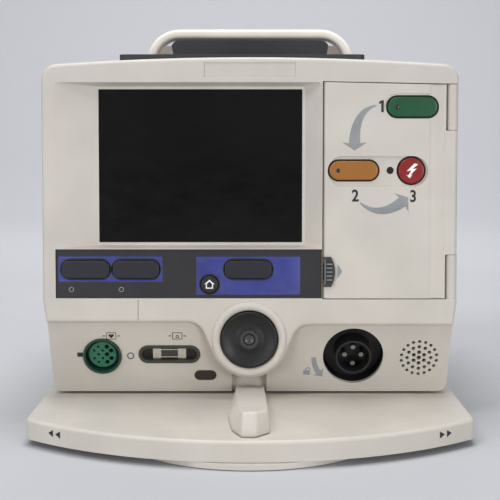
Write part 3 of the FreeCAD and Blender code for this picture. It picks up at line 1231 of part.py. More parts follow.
BUILDERS = (
    base_plate, base_feet, swivel, dock_shell, dock_fittings, latch_lever, latch_fittings,
    front_bezel, rear_case, bottom_cover, case_screws, connector_panel, handle, handle_bolts,
    top_tray, keypad_strip, keys, switch_boards, display, manual_panel, door, release_tab, dial,
    ecg_socket, oximeter_socket, therapy_socket, speaker, electronics, battery, printer,
    rear_connectors,
)


def check(objects):
    """Stop if any object failed to recompute or any sub-part has no sound solid."""
    for item in objects:
        if {"Invalid", "Error"} & set(item.State):
            raise RuntimeError(f"{item.Name} did not recompute: {item.State}")
    for label, piece in parts.items():
        shape = piece.Shape
        if shape.isNull() or not shape.isValid() or shape.Volume <= 0:
            raise RuntimeError(f"{label} has no sound solid")


def main():
    for build in BUILDERS:
        build()
    doc.recompute()
    check(doc.Objects)
    os.makedirs("parts", exist_ok=True)
    for label, piece in parts.items():
        piece.Shape.exportStep(f"parts/{label}.step")
        print(f"{label}: {len(piece.Shape.Solids)} solid(s), {piece.Shape.Volume / 1000:.1f} cm3")


main()
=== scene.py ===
"""Looks of a hospital defibrillator standing on its swivelling dock.

The CAD frame gives every shape that moves or fits. This script gives each part its material and adds
printed fields, symbols, lamps, gaskets, chart paper and the blank plates. Metres throughout.
"""
import math

import bmesh
import bpy
from mathutils import Matrix, Vector


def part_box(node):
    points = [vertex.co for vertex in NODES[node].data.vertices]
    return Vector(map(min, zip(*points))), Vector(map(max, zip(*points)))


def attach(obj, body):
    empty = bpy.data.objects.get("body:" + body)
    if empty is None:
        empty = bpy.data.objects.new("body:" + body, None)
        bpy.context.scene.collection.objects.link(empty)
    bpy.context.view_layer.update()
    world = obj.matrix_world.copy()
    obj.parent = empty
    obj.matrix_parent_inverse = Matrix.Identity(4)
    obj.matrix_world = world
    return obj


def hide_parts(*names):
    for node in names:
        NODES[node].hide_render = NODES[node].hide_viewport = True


MM = 0.001
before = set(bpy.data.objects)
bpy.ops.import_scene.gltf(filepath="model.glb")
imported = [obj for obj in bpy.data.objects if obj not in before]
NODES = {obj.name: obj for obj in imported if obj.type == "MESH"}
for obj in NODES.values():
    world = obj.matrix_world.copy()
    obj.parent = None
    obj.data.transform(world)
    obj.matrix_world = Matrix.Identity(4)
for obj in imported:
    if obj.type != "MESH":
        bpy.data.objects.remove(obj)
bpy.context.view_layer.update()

PRINT_THICK = 0.12 * MM     # a printed or inlaid mark
PRINT_SUNK = 0.03 * MM      # how far a mark's back lies inside the surface under it
ARC_STEPS = 10              # points on a quarter turn
CIRCLE_STEPS = 32           # points on a circle
DOME_STEPS = 28             # points round a lamp
WELD_INLAY = 0.0001 * MM    # points nearer than this are one point
WELD_NUMERAL = 0.001 * MM
PILL_ROUND = 0.999          # a pill's corner radius as a share of half its height
SHARP_FROM = 35             # degrees between faces that meet in a sharp edge

# sRGB colours, 0 to 255
OFF_WHITE = (203, 197, 188)
DOCK_WHITE = (203, 197, 188)
CHARCOAL = (52, 52, 55)
FILM = (38, 38, 41)
KEY_DARK = (30, 33, 41)
FIELD_BLUE = (49, 56, 124)
GREEN = (8, 78, 42)
AMBER = (160, 104, 36)
RED = (138, 16, 17)
ECG_GREEN = (42, 108, 84)
BLACK = (24, 24, 25)
SOCKET_GREY = (58, 56, 52)
INK = (28, 27, 28)
ARROW_GREY = (138, 141, 143)
MARK_WHITE = (232, 232, 228)


# ---------------------------------------------------------------- materials

def linear(colour):
    """sRGB 0 to 255 as linear RGBA."""
    parts = []
    for value in colour:
        share = value / 255
        parts.append(share / 12.92 if share <= 0.04045 else ((share + 0.055) / 1.055) ** 2.4)
    return (*parts, 1.0)


def scaled(colour, factor):
    """A lighter or darker colour, no brighter than white."""
    return tuple(min(255, value * factor) for value in colour)


class Recipe:
    """A node material built a step at a time around one Principled shader."""

    def __init__(self, name):
        self.material = bpy.data.materials.new(name)
        self.material.use_nodes = True
        self.tree = self.material.node_tree
        self.shader = self.tree.nodes["Principled BSDF"]
        self.place = self.add("ShaderNodeTexCoord").outputs["Object"]

    def add(self, kind, **settings):
        node = self.tree.nodes.new(kind)
        for key, value in settings.items():
            setattr(node, key, value)
        return node

    def link(self, start, end):
        self.tree.links.new(start, end)

    def stretched(self, stretch):
        """Object coordinates scaled along each axis."""
        mapping = self.add("ShaderNodeMapping")
        mapping.inputs["Scale"].default_value = stretch
        self.link(self.place, mapping.inputs["Vector"])
        return mapping.outputs["Vector"]

    def noise(self, size, detail=2.0, stretch=(1, 1, 1), rough=0.5):
        """Noise whose blobs are about size metres across."""
        node = self.add("ShaderNodeTexNoise")
        node.inputs["Scale"].default_value = 1 / size
        node.inputs["Detail"].default_value = detail
        node.inputs["Roughness"].default_value = rough
        self.link(self.stretched(stretch), node.inputs["Vector"])
        return node.outputs["Fac"]

    def ramp(self, source, low, high, start=0.35, end=0.65):
        """source as a value from low to high, between its own levels start and end."""
        node = self.add("ShaderNodeMapRange")
        node.inputs["From Min"].default_value = start
        node.inputs["From Max"].default_value = end
        node.inputs["To Min"].default_value = low
        node.inputs["To Max"].default_value = high
        self.link(source, node.inputs["Value"])
        return node.outputs["Result"]

    def mix(self, share, first, second):
        """A colour between two, each a colour or another node's output."""
        node = self.add("ShaderNodeMix", data_type="RGBA")
        self.link(share, node.inputs["Factor"])
        for value, socket in ((first, node.inputs[6]), (second, node.inputs[7])):
            if isinstance(value, tuple):
                socket.default_value = value
            else:
                self.link(value, socket)
        return node.outputs[2]

    def edges(self, width):
        """0 on flats and towards 1 on edges sharper than width."""
        bevel = self.add("ShaderNodeBevel", samples=4)
        bevel.inputs["Radius"].default_value = width
        geometry = self.add("ShaderNodeNewGeometry")
        dot = self.add("ShaderNodeVectorMath", operation="DOT_PRODUCT")
        self.link(bevel.outputs["Normal"], dot.inputs[0])
        self.link(geometry.outputs["Normal"], dot.inputs[1])
        return self.ramp(dot.outputs["Value"], 1.0, 0.0, 0.86, 0.995)

    def soft_normal(self, width):
        """A normal that rounds edges off over width."""
        bevel = self.add("ShaderNodeBevel", samples=4)
        bevel.inputs["Radius"].default_value = width
        return bevel.outputs["Normal"]

    def bump(self, height, depth, strength=1.0, normal=None):
        """A normal raised by height, depth metres at most."""
        node = self.add("ShaderNodeBump")
        node.inputs["Distance"].default_value = depth
        node.inputs["Strength"].default_value = strength
        self.link(height, node.inputs["Height"])
        if normal is not None:
            self.link(normal, node.inputs["Normal"])
        return node.outputs["Normal"]

    def finish(self, colour, rough, normal=None, metallic=0.0, coat=0.0, specular=0.5):
        """Links the shader and gives the finished material."""
        self.link(colour, self.shader.inputs["Base Color"])
        self.link(rough, self.shader.inputs["Roughness"])
        if normal is not None:
            self.link(normal, self.shader.inputs["Normal"])
        self.shader.inputs["Metallic"].default_value = metallic
        self.shader.inputs["Coat Weight"].default_value = coat
        self.shader.inputs["Coat Roughness"].default_value = 0.15
        self.shader.inputs["Specular IOR Level"].default_value = specular
        return self.material


def plastic(name, colour, depth=0.03 * MM, rough=(0.42, 0.56), edge_highlight=0.5, grime=0.05, coat=0.0):
    """Moulded plastic: spark-eroded grain, slow colour drift, faint grime and edges painted lighter as a
    painted highlight.
    """
    grain, soft, drift = 0.35 * MM, 0.5 * MM, 0.03
    made = Recipe(name)
    slow = made.ramp(made.noise(45 * MM, 3), 0, 1)
    base = made.mix(slow, linear(scaled(colour, 1 - drift)), linear(scaled(colour, 1 + drift / 2)))
    spots = made.ramp(made.noise(6 * MM, 6, rough=0.7), 0, grime, 0.55, 0.8)
    dirty = made.mix(spots, base, linear(scaled(colour, 0.62)))
    # painted highlight: every edge is painted up to 22% lighter than the face
    edge_highlight_mask = made.ramp(made.edges(0.8 * MM), 0, edge_highlight, 0.1, 1.0)
    highlighted = made.mix(edge_highlight_mask, dirty, linear(scaled(colour, 1.22)))
    fine = made.noise(grain, 2)
    rough_mix = made.ramp(made.noise(9 * MM, 5, rough=0.65), rough[0], rough[1])
    normal = made.bump(fine, depth, 0.6, made.soft_normal(soft))
    return made.finish(highlighted, rough_mix, normal, coat=coat)


def metal(name, colour, rough=(0.22, 0.38), stretch=(1, 1, 12), grain=0.5 * MM):
    """Turned or drawn metal: fine lines along one way, with a little tarnish."""
    depth = 0.008 * MM
    made = Recipe(name)
    lines = made.noise(grain, 3, stretch)
    tarnish = made.ramp(made.noise(7 * MM, 5, rough=0.7), 0, 0.35, 0.5, 0.8)
    base = made.mix(tarnish, linear(colour), linear(scaled(colour, 0.6)))
    return made.finish(base, made.ramp(lines, *rough), made.bump(lines, depth, 0.5), metallic=1.0)


def rubber(name, colour):
    """Matt rubber with pale dust in its grain."""
    made = Recipe(name)
    dust = made.ramp(made.noise(4 * MM, 6, rough=0.7), 0, 0.5, 0.5, 0.8)
    base = made.mix(dust, linear(colour), linear(scaled(colour, 1.6)))
    fine = made.noise(0.25 * MM, 3)
    return made.finish(base, made.ramp(dust, 0.65, 0.85, 0, 0.5), made.bump(fine, 0.03 * MM), specular=0.3)


def screen_glass(name):
    """A dark screen under smooth glass, with faint smears and dust."""
    made = Recipe(name)
    smear = made.noise(16 * MM, 5, (1, 1, 2.2), 0.6)
    dust = made.ramp(made.noise(0.5 * MM, 2), 0, 0.5, 0.70, 0.80)
    deep = made.mix(made.ramp(made.noise(60 * MM, 1), 0, 1), linear((9, 9, 8)), linear((16, 14, 13)))
    base = made.mix(dust, deep, linear((40, 38, 35)))
    normal = made.bump(made.noise(30 * MM, 1), 0.02 * MM, 0.2)
    return made.finish(base, made.ramp(smear, 0.10, 0.24), normal, specular=0.25)


def film(name, colour, light=1.1):
    """Screen-printed film with a fine matt texture."""
    made = Recipe(name)
    slow = made.ramp(made.noise(18 * MM, 4, rough=0.6), 0, 1)
    base = made.mix(slow, linear(colour), linear(scaled(colour, light)))
    fine = made.noise(0.22 * MM, 2)
    return made.finish(base, made.ramp(fine, 0.38, 0.5), made.bump(fine, 0.015 * MM, 0.5))


def board(name):
    """A circuit board: solder mask with a pale grid of tracks."""
    made = Recipe(name)
    brick = made.add("ShaderNodeTexBrick")
    brick.inputs["Scale"].default_value = 90
    brick.inputs["Mortar Size"].default_value = 0.03
    brick.inputs["Color1"].default_value = linear((26, 84, 50))
    brick.inputs["Color2"].default_value = linear((20, 70, 42))
    brick.inputs["Mortar"].default_value = linear((96, 132, 84))
    upright = made.add("ShaderNodeMapping")
    upright.inputs["Rotation"].default_value = (math.pi / 2, 0, 0)
    made.link(made.place, upright.inputs["Vector"])
    made.link(upright.outputs["Vector"], brick.inputs["Vector"])
    rough = made.ramp(made.noise(5 * MM, 4), 0.3, 0.5)
    return made.finish(brick.outputs["Color"], rough, made.bump(brick.outputs["Fac"], 0.03 * MM))


def chart_paper(name):
    """Chart paper with its pale 5 mm grid."""
    made = Recipe(name)
    grid = made.add("ShaderNodeTexBrick", offset=0.0)
    grid.inputs["Scale"].default_value = 1
    grid.inputs["Brick Width"].default_value = 5 * MM
    grid.inputs["Row Height"].default_value = 5 * MM
    grid.inputs["Mortar Size"].default_value = 0.2 * MM
    grid.inputs["Color1"].default_value = linear((238, 232, 226))
    grid.inputs["Color2"].default_value = linear((236, 229, 222))
    grid.inputs["Mortar"].default_value = linear((224, 160, 150))
    made.link(made.place, grid.inputs["Vector"])
    fibre = made.noise(0.8 * MM, 4)
    return made.finish(grid.outputs["Color"], made.ramp(fibre, 0.7, 0.85), made.bump(fibre, 0.02 * MM, 0.5))


def make_materials():
    """Every look by its short name."""
    return {
        "case": plastic("case", OFF_WHITE),
        "door": plastic("door", scaled(OFF_WHITE, 1.01)),
        # painted shade: the downward-facing connector panel wears the case colour 4% darker
        "panel": plastic("panel", scaled(OFF_WHITE, 0.96)),
        # painted light: the handle wears the case colour 20% lighter for its lit upper facets
        "handle": plastic("handle", scaled(OFF_WHITE, 1.2), grime=0.03),
        "dock": plastic("dock", DOCK_WHITE, grime=0.07),
        "charcoal": plastic("charcoal", CHARCOAL, rough=(0.5, 0.66), edge_highlight=0.25),
        "knob": plastic("knob", (8, 8, 8), rough=(0.42, 0.56), edge_highlight=0.25),
        "hub": plastic("hub", (62, 62, 63), rough=(0.24, 0.38), edge_highlight=0.6),
        "film": film("film", FILM),
        "blue_print": film("blue_print", FIELD_BLUE, 1.16),
        "key": plastic("key", KEY_DARK, rough=(0.36, 0.48), edge_highlight=0.3, depth=0.012 * MM),
        "glass": screen_glass("glass"),
        "green": plastic("green", GREEN, rough=(0.3, 0.42), edge_highlight=0.3, depth=0.01 * MM, coat=0.2),
        "amber": plastic("amber", AMBER, rough=(0.3, 0.42), edge_highlight=0.25, depth=0.01 * MM, coat=0.2),
        "red": plastic("red", RED, rough=(0.28, 0.4), edge_highlight=0.25, depth=0.01 * MM, coat=0.25),
        "lens": plastic("lens", (34, 22, 20), rough=(0.12, 0.25), edge_highlight=0.1, depth=0.004 * MM, coat=0.6),
        "ecg_green": plastic("ecg_green", ECG_GREEN, rough=(0.4, 0.55)),
        "black": plastic("black", BLACK, rough=(0.38, 0.55), edge_highlight=0.35),
        "socket_grey": plastic("socket_grey", SOCKET_GREY, rough=(0.45, 0.6), edge_highlight=0.2),
        # painted shade: the ECG socket wears the insert's green at 0.55 for the shadowed ring round the
        # insert
        "shaded_ecg_green": plastic("shaded_ecg_green", scaled(ECG_GREEN, 0.55), rough=(0.4, 0.55)),
        "dark_pin": metal("dark_pin", (150, 148, 144), (0.2, 0.34)),
        "skirt": rubber("skirt", BLACK),
        "rubber": rubber("rubber", BLACK),
        "steel": metal("steel", (168, 168, 166)),
        "contact": metal("contact", (222, 220, 212), (0.18, 0.32), grain=0.8 * MM),
        "brass": metal("brass", (196, 150, 82)),
        "sheet": metal("sheet", (176, 178, 180), (0.35, 0.5), (10, 1, 1)),
        "board": board("board"),
        "paper": chart_paper("paper"),
        "ink": film("ink", INK),
        "arrow": film("arrow", ARROW_GREY),
        "mark": film("mark", MARK_WHITE),
        "blank": metal("blank", (150, 151, 153), (0.4, 0.55), (1, 1, 9)),
    }


# the CAD nodes that wear each look
WEARS = {
    "handle": "handle", "case": "front_bezel rear_case dial_ring bottom_cover printer_flap",
    "door": "door", "panel": "connector_panel",
    "dock": "dock_shell dock_guides base_plate latch_lever",
    "charcoal": "top_tray release_tab manual_panel battery_pack battery_bay printer_frame speaker",
    "knob": "dial_knob", "film": "keypad_strip",
    "key": "print_key summary_key event_key home_key",
    "glass": "display_window display_module", "green": "start_key", "amber": "analyze_key",
    "red": "shock_key", "lens": "status_lamp infrared_window", "ecg_green": "ecg_insert",
    "socket_grey": "oximeter_socket", "black": "therapy_socket therapy_insert mains_inlet data_port",
    "shaded_ecg_green": "ecg_socket", "contact": "oximeter_contacts latch_spring", "dark_pin": "therapy_pins",
    "steel": "swivel_pin latch_pin handle_bolts case_screws hinge_pin flap_pin dial_shaft dial_encoder",
    "brass": "swivel_bearing ground_stud", "rubber": "base_feet platen_roller",
    "sheet": "chassis_frame energy_capacitor power_supply", "board": "main_board switch_boards",
    "paper": "paper_roll",
}


def dress_nodes(looks):
    """Gives each CAD node its material in every slot."""
    for look, names in WEARS.items():
        for name in names.split():
            slots = NODES[name].data.materials
            if not slots:
                slots.append(looks[look])
            for index in range(len(slots)):
                slots[index] = looks[look]


# ---------------------------------------------------------------- outlines, in metres, x and z

def arc(centre, radius, start, end, steps=ARC_STEPS):
    """Points along an arc from start to end, in degrees."""
    return [(centre[0] + radius * math.cos(math.radians(start + (end - start) * i / steps)),
             centre[1] + radius * math.sin(math.radians(start + (end - start) * i / steps)))
            for i in range(steps + 1)]


def rounded(left, low, right, high, radius):
    """A rectangle with round corners."""
    corners = (((right - radius, high - radius), 0), ((left + radius, high - radius), 90),
               ((left + radius, low + radius), 180), ((right - radius, low + radius), 270))
    points = []
    for centre, start in corners:
        points += arc(centre, radius, start, start + 90)
    return points


def around(node, margin):
    """A pill outline margin outside a node's box, seen from the front."""
    low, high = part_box(node)
    radius = ((high.z - low.z) / 2 + margin) * PILL_ROUND
    return rounded(low.x - margin, low.z - margin, high.x + margin, high.z + margin, radius)


def face_centre(node):
    """The middle of a node's box seen from the front, as x and z."""
    low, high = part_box(node)
    return (low.x + high.x) / 2, (low.z + high.z) / 2


def circle(centre, radius):
    """Points round a circle, the first not repeated."""
    return arc(centre, radius, 0, 360 - 360 / CIRCLE_STEPS, CIRCLE_STEPS - 1)


def swept_arrow(start, bend, tip, tail, shaft, head, barb):
    """A curved arrow that grows from tail to shaft wide along a bend, and ends in a pointed head."""
    steps, swell, hook = 14, 0.8, 0.15
    start, bend, tip = Vector(start), Vector(bend), Vector(tip)
    aim = (tip - bend).normalized()
    neck = tip - aim * head
    left, right = [], []
    for i in range(steps + 1):
        t = i / steps
        spot = start * (1 - t) ** 2 + bend * 2 * t * (1 - t) + neck * t ** 2
        along = ((bend - start) * (1 - t) + (neck - bend) * t).normalized()
        side = Vector((-along.y, along.x)) * (tail + (shaft - tail) * t ** swell) / 2
        left.append(spot + side)
        right.append(spot - side)
    side = Vector((-aim.y, aim.x)) * barb / 2
    back = neck - aim * head * hook
    points = left + [back + side, tip, back - side] + right[::-1]
    return [tuple(point) for point in points]


def scaled_outline(points, centre, factor):
    """Points moved to centre, each first multiplied by factor."""
    return [(centre[0] + x * factor, centre[1] + z * factor) for x, z in points]


# ---------------------------------------------------------------- pieces

def as_mesh(name, made):
    """A finished bmesh as a mesh of that name."""
    mesh = bpy.data.meshes.new(name)
    made.to_mesh(mesh)
    made.free()
    return mesh


def placed(name, data):
    """An object that holds data, in the scene."""
    thing = bpy.data.objects.new(name, data)
    bpy.context.scene.collection.objects.link(thing)
    return thing


def from_mesh(name, mesh, look, body):
    """A smooth piece with sharp corners kept, in its material, riding on a body."""
    piece = placed(name, mesh)
    mesh.materials.clear()
    mesh.materials.append(look)
    for face in mesh.polygons:
        face.use_smooth = True
    mesh.set_sharp_from_angle(angle=math.radians(SHARP_FROM))
    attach(piece, body)
    return piece


def inlay(name, loops, front, thick, look, body, edge, place=None):
    """A flat piece facing the front, cut to loops (holes inside the first), from front back by thick."""
    curve = bpy.data.curves.new(name, "CURVE")
    curve.dimensions = "2D"
    curve.fill_mode = "BOTH"
    curve.extrude = thick / 2 - edge
    curve.bevel_depth = edge
    curve.bevel_resolution = 1
    curve.offset = -edge
    for loop in loops:
        spline = curve.splines.new("POLY")
        spline.points.add(len(loop) - 1)
        for point, (x, z) in zip(spline.points, loop):
            point.co = (x, z, 0, 1)
        spline.use_cyclic_u = True
    flat = bpy.data.objects.new(name + "_flat", curve)
    mesh = bpy.data.meshes.new_from_object(flat)
    bpy.data.objects.remove(flat)
    upright = Matrix.Translation((0, front + thick / 2, 0)) @ Matrix.Rotation(math.pi / 2, 4, "X")
    mesh.transform((place or Matrix.Identity(4)) @ upright)
    tidy = bmesh.new()
    tidy.from_mesh(mesh)
    bmesh.ops.remove_doubles(tidy, verts=tidy.verts, dist=WELD_INLAY)
    bmesh.ops.recalc_face_normals(tidy, faces=tidy.faces)
    tidy.to_mesh(mesh)
    tidy.free()
    mesh.name = name
    return from_mesh(name, mesh, look, body)


def printed(name, loops, surface, look, body, place=None):
    """A mark on a surface that faces the front at depth surface."""
    return inlay(name, loops, surface - PRINT_THICK + PRINT_SUNK, PRINT_THICK, look, body,
                 PRINT_THICK / 8, place)


def turned(name, profile, look, body, place, steps):
    """A turned piece: profile is (radius, depth) from its middle out, about the front-back axis."""
    made = bmesh.new()
    rings = []
    for radius, depth in profile:
        if radius == 0:
            rings.append([made.verts.new((0, depth, 0))])
            continue
        turns = [2 * math.pi * i / steps for i in range(steps)]
        rings.append([made.verts.new((radius * math.cos(turn), depth, radius * math.sin(turn)))
                      for turn in turns])
    for first, second in zip(rings, rings[1:]):
        for i in range(steps):
            ends = [first[i % len(first)], first[(i + 1) % len(first)],
                    second[(i + 1) % len(second)], second[i % len(second)]]
            corners = list(dict.fromkeys(ends))
            if len(corners) > 2:
                made.faces.new(corners)
    bmesh.ops.recalc_face_normals(made, faces=made.faces)
    mesh = as_mesh(name, made)
    mesh.transform(place)
    return from_mesh(name, mesh, look, body)


def dome(name, centre, radius, look, body, rise=0.35):
    """A small lamp: a low dome, rise times its radius high, on a short stem sunk into its surface."""
    stem, rings = 0.5 * MM, 6
    profile = [(0, -radius * rise)]
    for i in range(1, rings + 1):
        turn = math.pi / 2 * i / rings
        profile.append((radius * math.sin(turn), -radius * rise * math.cos(turn)))
    profile += [(radius, stem), (0, stem)]
    return turned(name, profile, look, body, Matrix.Translation(centre), DOME_STEPS)


# ---------------------------------------------------------------- keypad

def keypad(looks):
    """Blue fields with dark openings round the keys, two small lamps and a house symbol."""
    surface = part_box("keypad_strip")[0].y
    rim, gap = 1.3 * MM, 0.45 * MM
    left_field = rounded(-121 * MM, 90.8 * MM, -55.3 * MM, 106.9 * MM, 0.8 * MM)
    right_field = rounded(-33.9 * MM, 82.6 * MM, 31.7 * MM, 106.8 * MM, 0.8 * MM)
    printed("left_field", [left_field, around("print_key", rim), around("summary_key", rim)],
            surface, looks["blue_print"], "device")
    printed("right_field", [right_field, around("event_key", rim), around("home_key", rim)],
            surface, looks["blue_print"], "device")
    for name in ("print_key", "summary_key", "event_key", "home_key"):
        printed(f"{name}_outline", [around(name, rim), around(name, gap)], surface, looks["ink"],
                "device")
    lamp_level, lamp_radius, ring_inner, ring_outer = 86 * MM, 1.1 * MM, 1.2 * MM, 1.6 * MM
    for index, across in enumerate((-113 * MM, -81.4 * MM)):
        spot = (across, lamp_level)
        dome(f"power_lamp_{index}", (across, surface, lamp_level), lamp_radius, looks["lens"],
             "device")
        printed(f"power_lamp_ring_{index}", [circle(spot, ring_outer), circle(spot, ring_inner)], surface,
                looks["arrow"], "device")
    centre = face_centre("home_key")
    key_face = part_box("home_key")[0].y
    house = [(-2.3, -2.6), (-2.3, 0.2), (-3.3, 0.2), (0, 3.1), (3.3, 0.2), (2.3, 0.2), (2.3, -2.6)]
    room = [(-1.6, -1.9), (-1.6, 0.5), (0, 1.95), (1.6, 0.5), (1.6, -1.9)]
    printed("house_symbol", [scaled_outline(house, centre, MM), scaled_outline(room, centre, MM)],
            key_face, looks["mark"], "home_button")


# ---------------------------------------------------------------- door and treatment keys

def numeral(name, digit, centre, tall, surface, looks):
    """A bold, narrow order number printed on the door."""
    font_size, bold, narrow = tall * 1.4, tall * 0.033, 0.86
    text = bpy.data.curves.new(name, "FONT")
    text.body = digit
    text.align_x = "CENTER"
    text.align_y = "CENTER"
    text.size = font_size
    text.extrude = PRINT_THICK / 2
    text.offset = bold
    holder = bpy.data.objects.new(name + "_text", text)
    mesh = bpy.data.meshes.new_from_object(holder)
    bpy.data.objects.remove(holder)
    back = surface + PRINT_SUNK - PRINT_THICK / 2
    mesh.transform(Matrix.Translation((centre[0], back, centre[1])) @ Matrix.Rotation(math.pi / 2, 4, "X")
                   @ Matrix.Diagonal((narrow, 1, 1, 1)))
    tidy = bmesh.new()
    tidy.from_mesh(mesh)
    bmesh.ops.remove_doubles(tidy, verts=tidy.verts, dist=WELD_NUMERAL)
    tidy.to_mesh(mesh)
    tidy.free()
    mesh.name = name
    return from_mesh(name, mesh, looks["ink"], "door")


def tab_marks(looks):
    """Pale bars on the crests of the release tab's ribs, and a line along its free edge."""
    left, face = 46.6 * MM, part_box("release_tab")[0].y
    line = rounded(left + 0.5 * MM, 89.4 * MM, left + 0.9 * MM, 105.3 * MM, 0.15 * MM)
    printed("tab_line", [line], face, looks["arrow"], "release")
    bars, first_foot, pitch, bar_high = 5, 92.05 * MM, 2.5 * MM, 0.6 * MM
    for index in range(bars):
        foot = first_foot + index * pitch
        bar = rounded(left + 1.6 * MM, foot, left + 5.2 * MM, foot + bar_high, 0.2 * MM)
        printed(f"tab_bar_{index}", [bar], face, looks["arrow"], "release")


def door_marks(looks):
    """Order numerals, the two grey arrows between the keys and the triangle beside the release tab."""
    face = -90 * MM             # the door's outer face
    tall = 7.4 * MM
    one = [(0.05, -0.5), (0.27, -0.5), (0.27, 0.5), (0.1, 0.5), (-0.14, 0.36), (-0.14, 0.18), (0.05, 0.27)]
    stroke = scaled_outline(one, (81.8 * MM, 201.6 * MM), tall)
    printed("numeral_one", [stroke], face, looks["ink"], "door")
    numeral("numeral_two", "2", (66.2 * MM, 145.1 * MM), tall, face, looks)
    numeral("numeral_three", "3", (102.6 * MM, 144.8 * MM), tall, face, looks)
    first = swept_arrow((79.4 * MM, 202.2 * MM), (65.6 * MM, 199 * MM), (65.6 * MM, 173.8 * MM),
                        0.5 * MM, 7.2 * MM, 4.6 * MM, 16 * MM)
    second = swept_arrow((69 * MM, 141.2 * MM), (81 * MM, 130.5 * MM), (99.6 * MM, 144.4 * MM),
                         0.5 * MM, 7 * MM, 4.8 * MM, 15 * MM)
    printed("first_arrow", [first], face, looks["arrow"], "door")
    printed("second_arrow", [second], face, looks["arrow"], "door")
    triangle = [(55.2 * MM, 93.2 * MM), (58.3 * MM, 97.8 * MM), (55.2 * MM, 102.4 * MM)]
    printed("slide_triangle", [triangle], face, looks["arrow"], "door")


KEY_BODIES = {"start_key": "start_button", "analyze_key": "analyze_button", "shock_key": "shock_button"}


def treatment_keys(looks):
    """Silicone skirts round the three keys, black sleeves painting shade into the key gaps, their small lamps
    and the bolt on the red key.
    """
    seat = -84.42 * MM          # the ledge that the skirts lie on
    thick = 1.6 * MM
    travel = 1.55 * MM          # the keys' stroke and a little room
    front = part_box("start_key")[0].y
    sleeve_front = front + 0.9 * MM
    sleeve_deep = seat - travel - sleeve_front
    for node, body in KEY_BODIES.items():
        skirt = [around(node, 2.4 * MM), around(node, 0.6 * MM)]
        inlay(f"{node}_skirt", skirt, seat - thick, thick, looks["skirt"], "device", 0.1 * MM)
        # painted shade: a black sleeve fills half of each key gap so the gap reads darker
        shade_sleeve = [around(node, 0.5 * MM), around(node, -0.05 * MM)]
        inlay(f"{node}_sleeve", shade_sleeve, sleeve_front, sleeve_deep, looks["skirt"], body, 0.08 * MM)
    lamp_radius, lamp_rise = 1.4 * MM, 0.25
    for name, node, inset in (("start_lamp", "start_key", 6 * MM), ("analyze_lamp", "analyze_key", 5.6 * MM)):
        spot = (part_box(node)[0].x + inset, front, face_centre(node)[1])
        dome(name, spot, lamp_radius, looks["lens"], KEY_BODIES[node], lamp_rise)
    bolt = [(2, 5), (-3.25, -0.3), (0, 0.1), (-2.375, -3.4), (-3.75, -2.7), (-1.125, -5.2), (0.75, -2.3),
            (-0.75, -2.9), (3.625, 1.5), (0.75, 1.2), (4.5, 4.4)]
    bolt_size = 0.92 * MM
    printed("bolt_symbol", [scaled_outline(bolt, face_centre("shock_key"), bolt_size)],
            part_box("shock_key")[0].y, looks["mark"], "shock_button")


# ---------------------------------------------------------------- connector panel

SLOPE = math.radians(15.6)
SLOPE_TOP = Vector((0, -86.6 * MM, 64.6 * MM))


def on_slope(across, drop):
    """The place of something facing out of the sloping panel, drop down from its top line."""
    return (Matrix.Translation(SLOPE_TOP) @ Matrix.Rotation(SLOPE, 4, "X")
            @ Matrix.Translation((across, 0, -drop)))


def heart(size):
    """A heart outline about size across, with its point down."""
    points = []
    steps = 28
    for i in range(steps):
        turn = 2 * math.pi * i / steps
        across = math.sin(turn) ** 3
        up = (13 * math.cos(turn) - 5 * math.cos(2 * turn) - 2 * math.cos(3 * turn) - math.cos(4 * turn)) / 16
        points.append((across * size / 2, up * size / 2))
    return points[::-1]


def panel_marks(looks):
    """Pictograms over the small sockets, a plain ring between them, and the lock and turn marks."""
    over, heart_at, ring_at = 9.4 * MM, -88.6 * MM, -46.4 * MM
    for name, across in (("heart_mark", heart_at), ("square_mark", ring_at)):
        place = on_slope(across, over)
        box = [rounded(-3.2 * MM, -2.4 * MM, 3.2 * MM, 2.4 * MM, 0.4 * MM),
               rounded(-2.8 * MM, -2.0 * MM, 2.8 * MM, 2.0 * MM, 0.2 * MM)]
        printed(f"{name}_box", box, 0, looks["ink"], "device", place)
        for end, left in (("left", -5.6 * MM), ("right", 3.9 * MM)):
            bar = rounded(left, -0.3 * MM, left + 1.7 * MM, 0.3 * MM, 0.25 * MM)
            printed(f"{name}_bar_{end}", [bar], 0, looks["ink"], "device", place)
    printed("heart_mark", [heart(3.4 * MM)], 0, looks["ink"], "device",
            on_slope(heart_at, over))
    drop = [circle((0, -0.5 * MM), 1.1 * MM), circle((0, -0.5 * MM), 0.6 * MM)]
    printed("square_mark_ring", drop, 0, looks["ink"], "device",
            on_slope(ring_at, over))
    key = rounded(-1.8 * MM, -1.5 * MM, 1.8 * MM, 1.5 * MM, 0.3 * MM)
    printed("key_mark", [key], 0, looks["ink"], "device", on_slope(-109 * MM, 22.6 * MM))
    ring = [circle((0, 0), 2.3 * MM), circle((0, 0), 1.7 * MM)]
    printed("care_ring", ring, 0, looks["ink"], "device", on_slope(-76.6 * MM, 23.4 * MM))
    turn = swept_arrow((40.8 * MM, 0), (41.4 * MM, -7 * MM), (46.8 * MM, -13.6 * MM),
                       3 * MM, 3.6 * MM, 4 * MM, 8.4 * MM)
    printed("turn_arrow", [turn], 0, looks["arrow"], "device", on_slope(0, 24.6 * MM))
    lock_at = on_slope(36.4 * MM, 34.4 * MM)
    shackle_at, shackle_outer, shackle_inner = (0.9 * MM, 0.9 * MM), 1.9 * MM, 1.2 * MM
    shackle = arc(shackle_at, shackle_outer, 180, 0) + arc(shackle_at, shackle_inner, 0, 180)
    printed("lock_shackle", [shackle], 0, looks["arrow"], "device", lock_at)
    case = rounded(-2.2 * MM, -2.5 * MM, 2.2 * MM, 0.7 * MM, 0.5 * MM)
    printed("lock_case", [case], 0, looks["arrow"], "device", lock_at)


# ---------------------------------------------------------------- dial

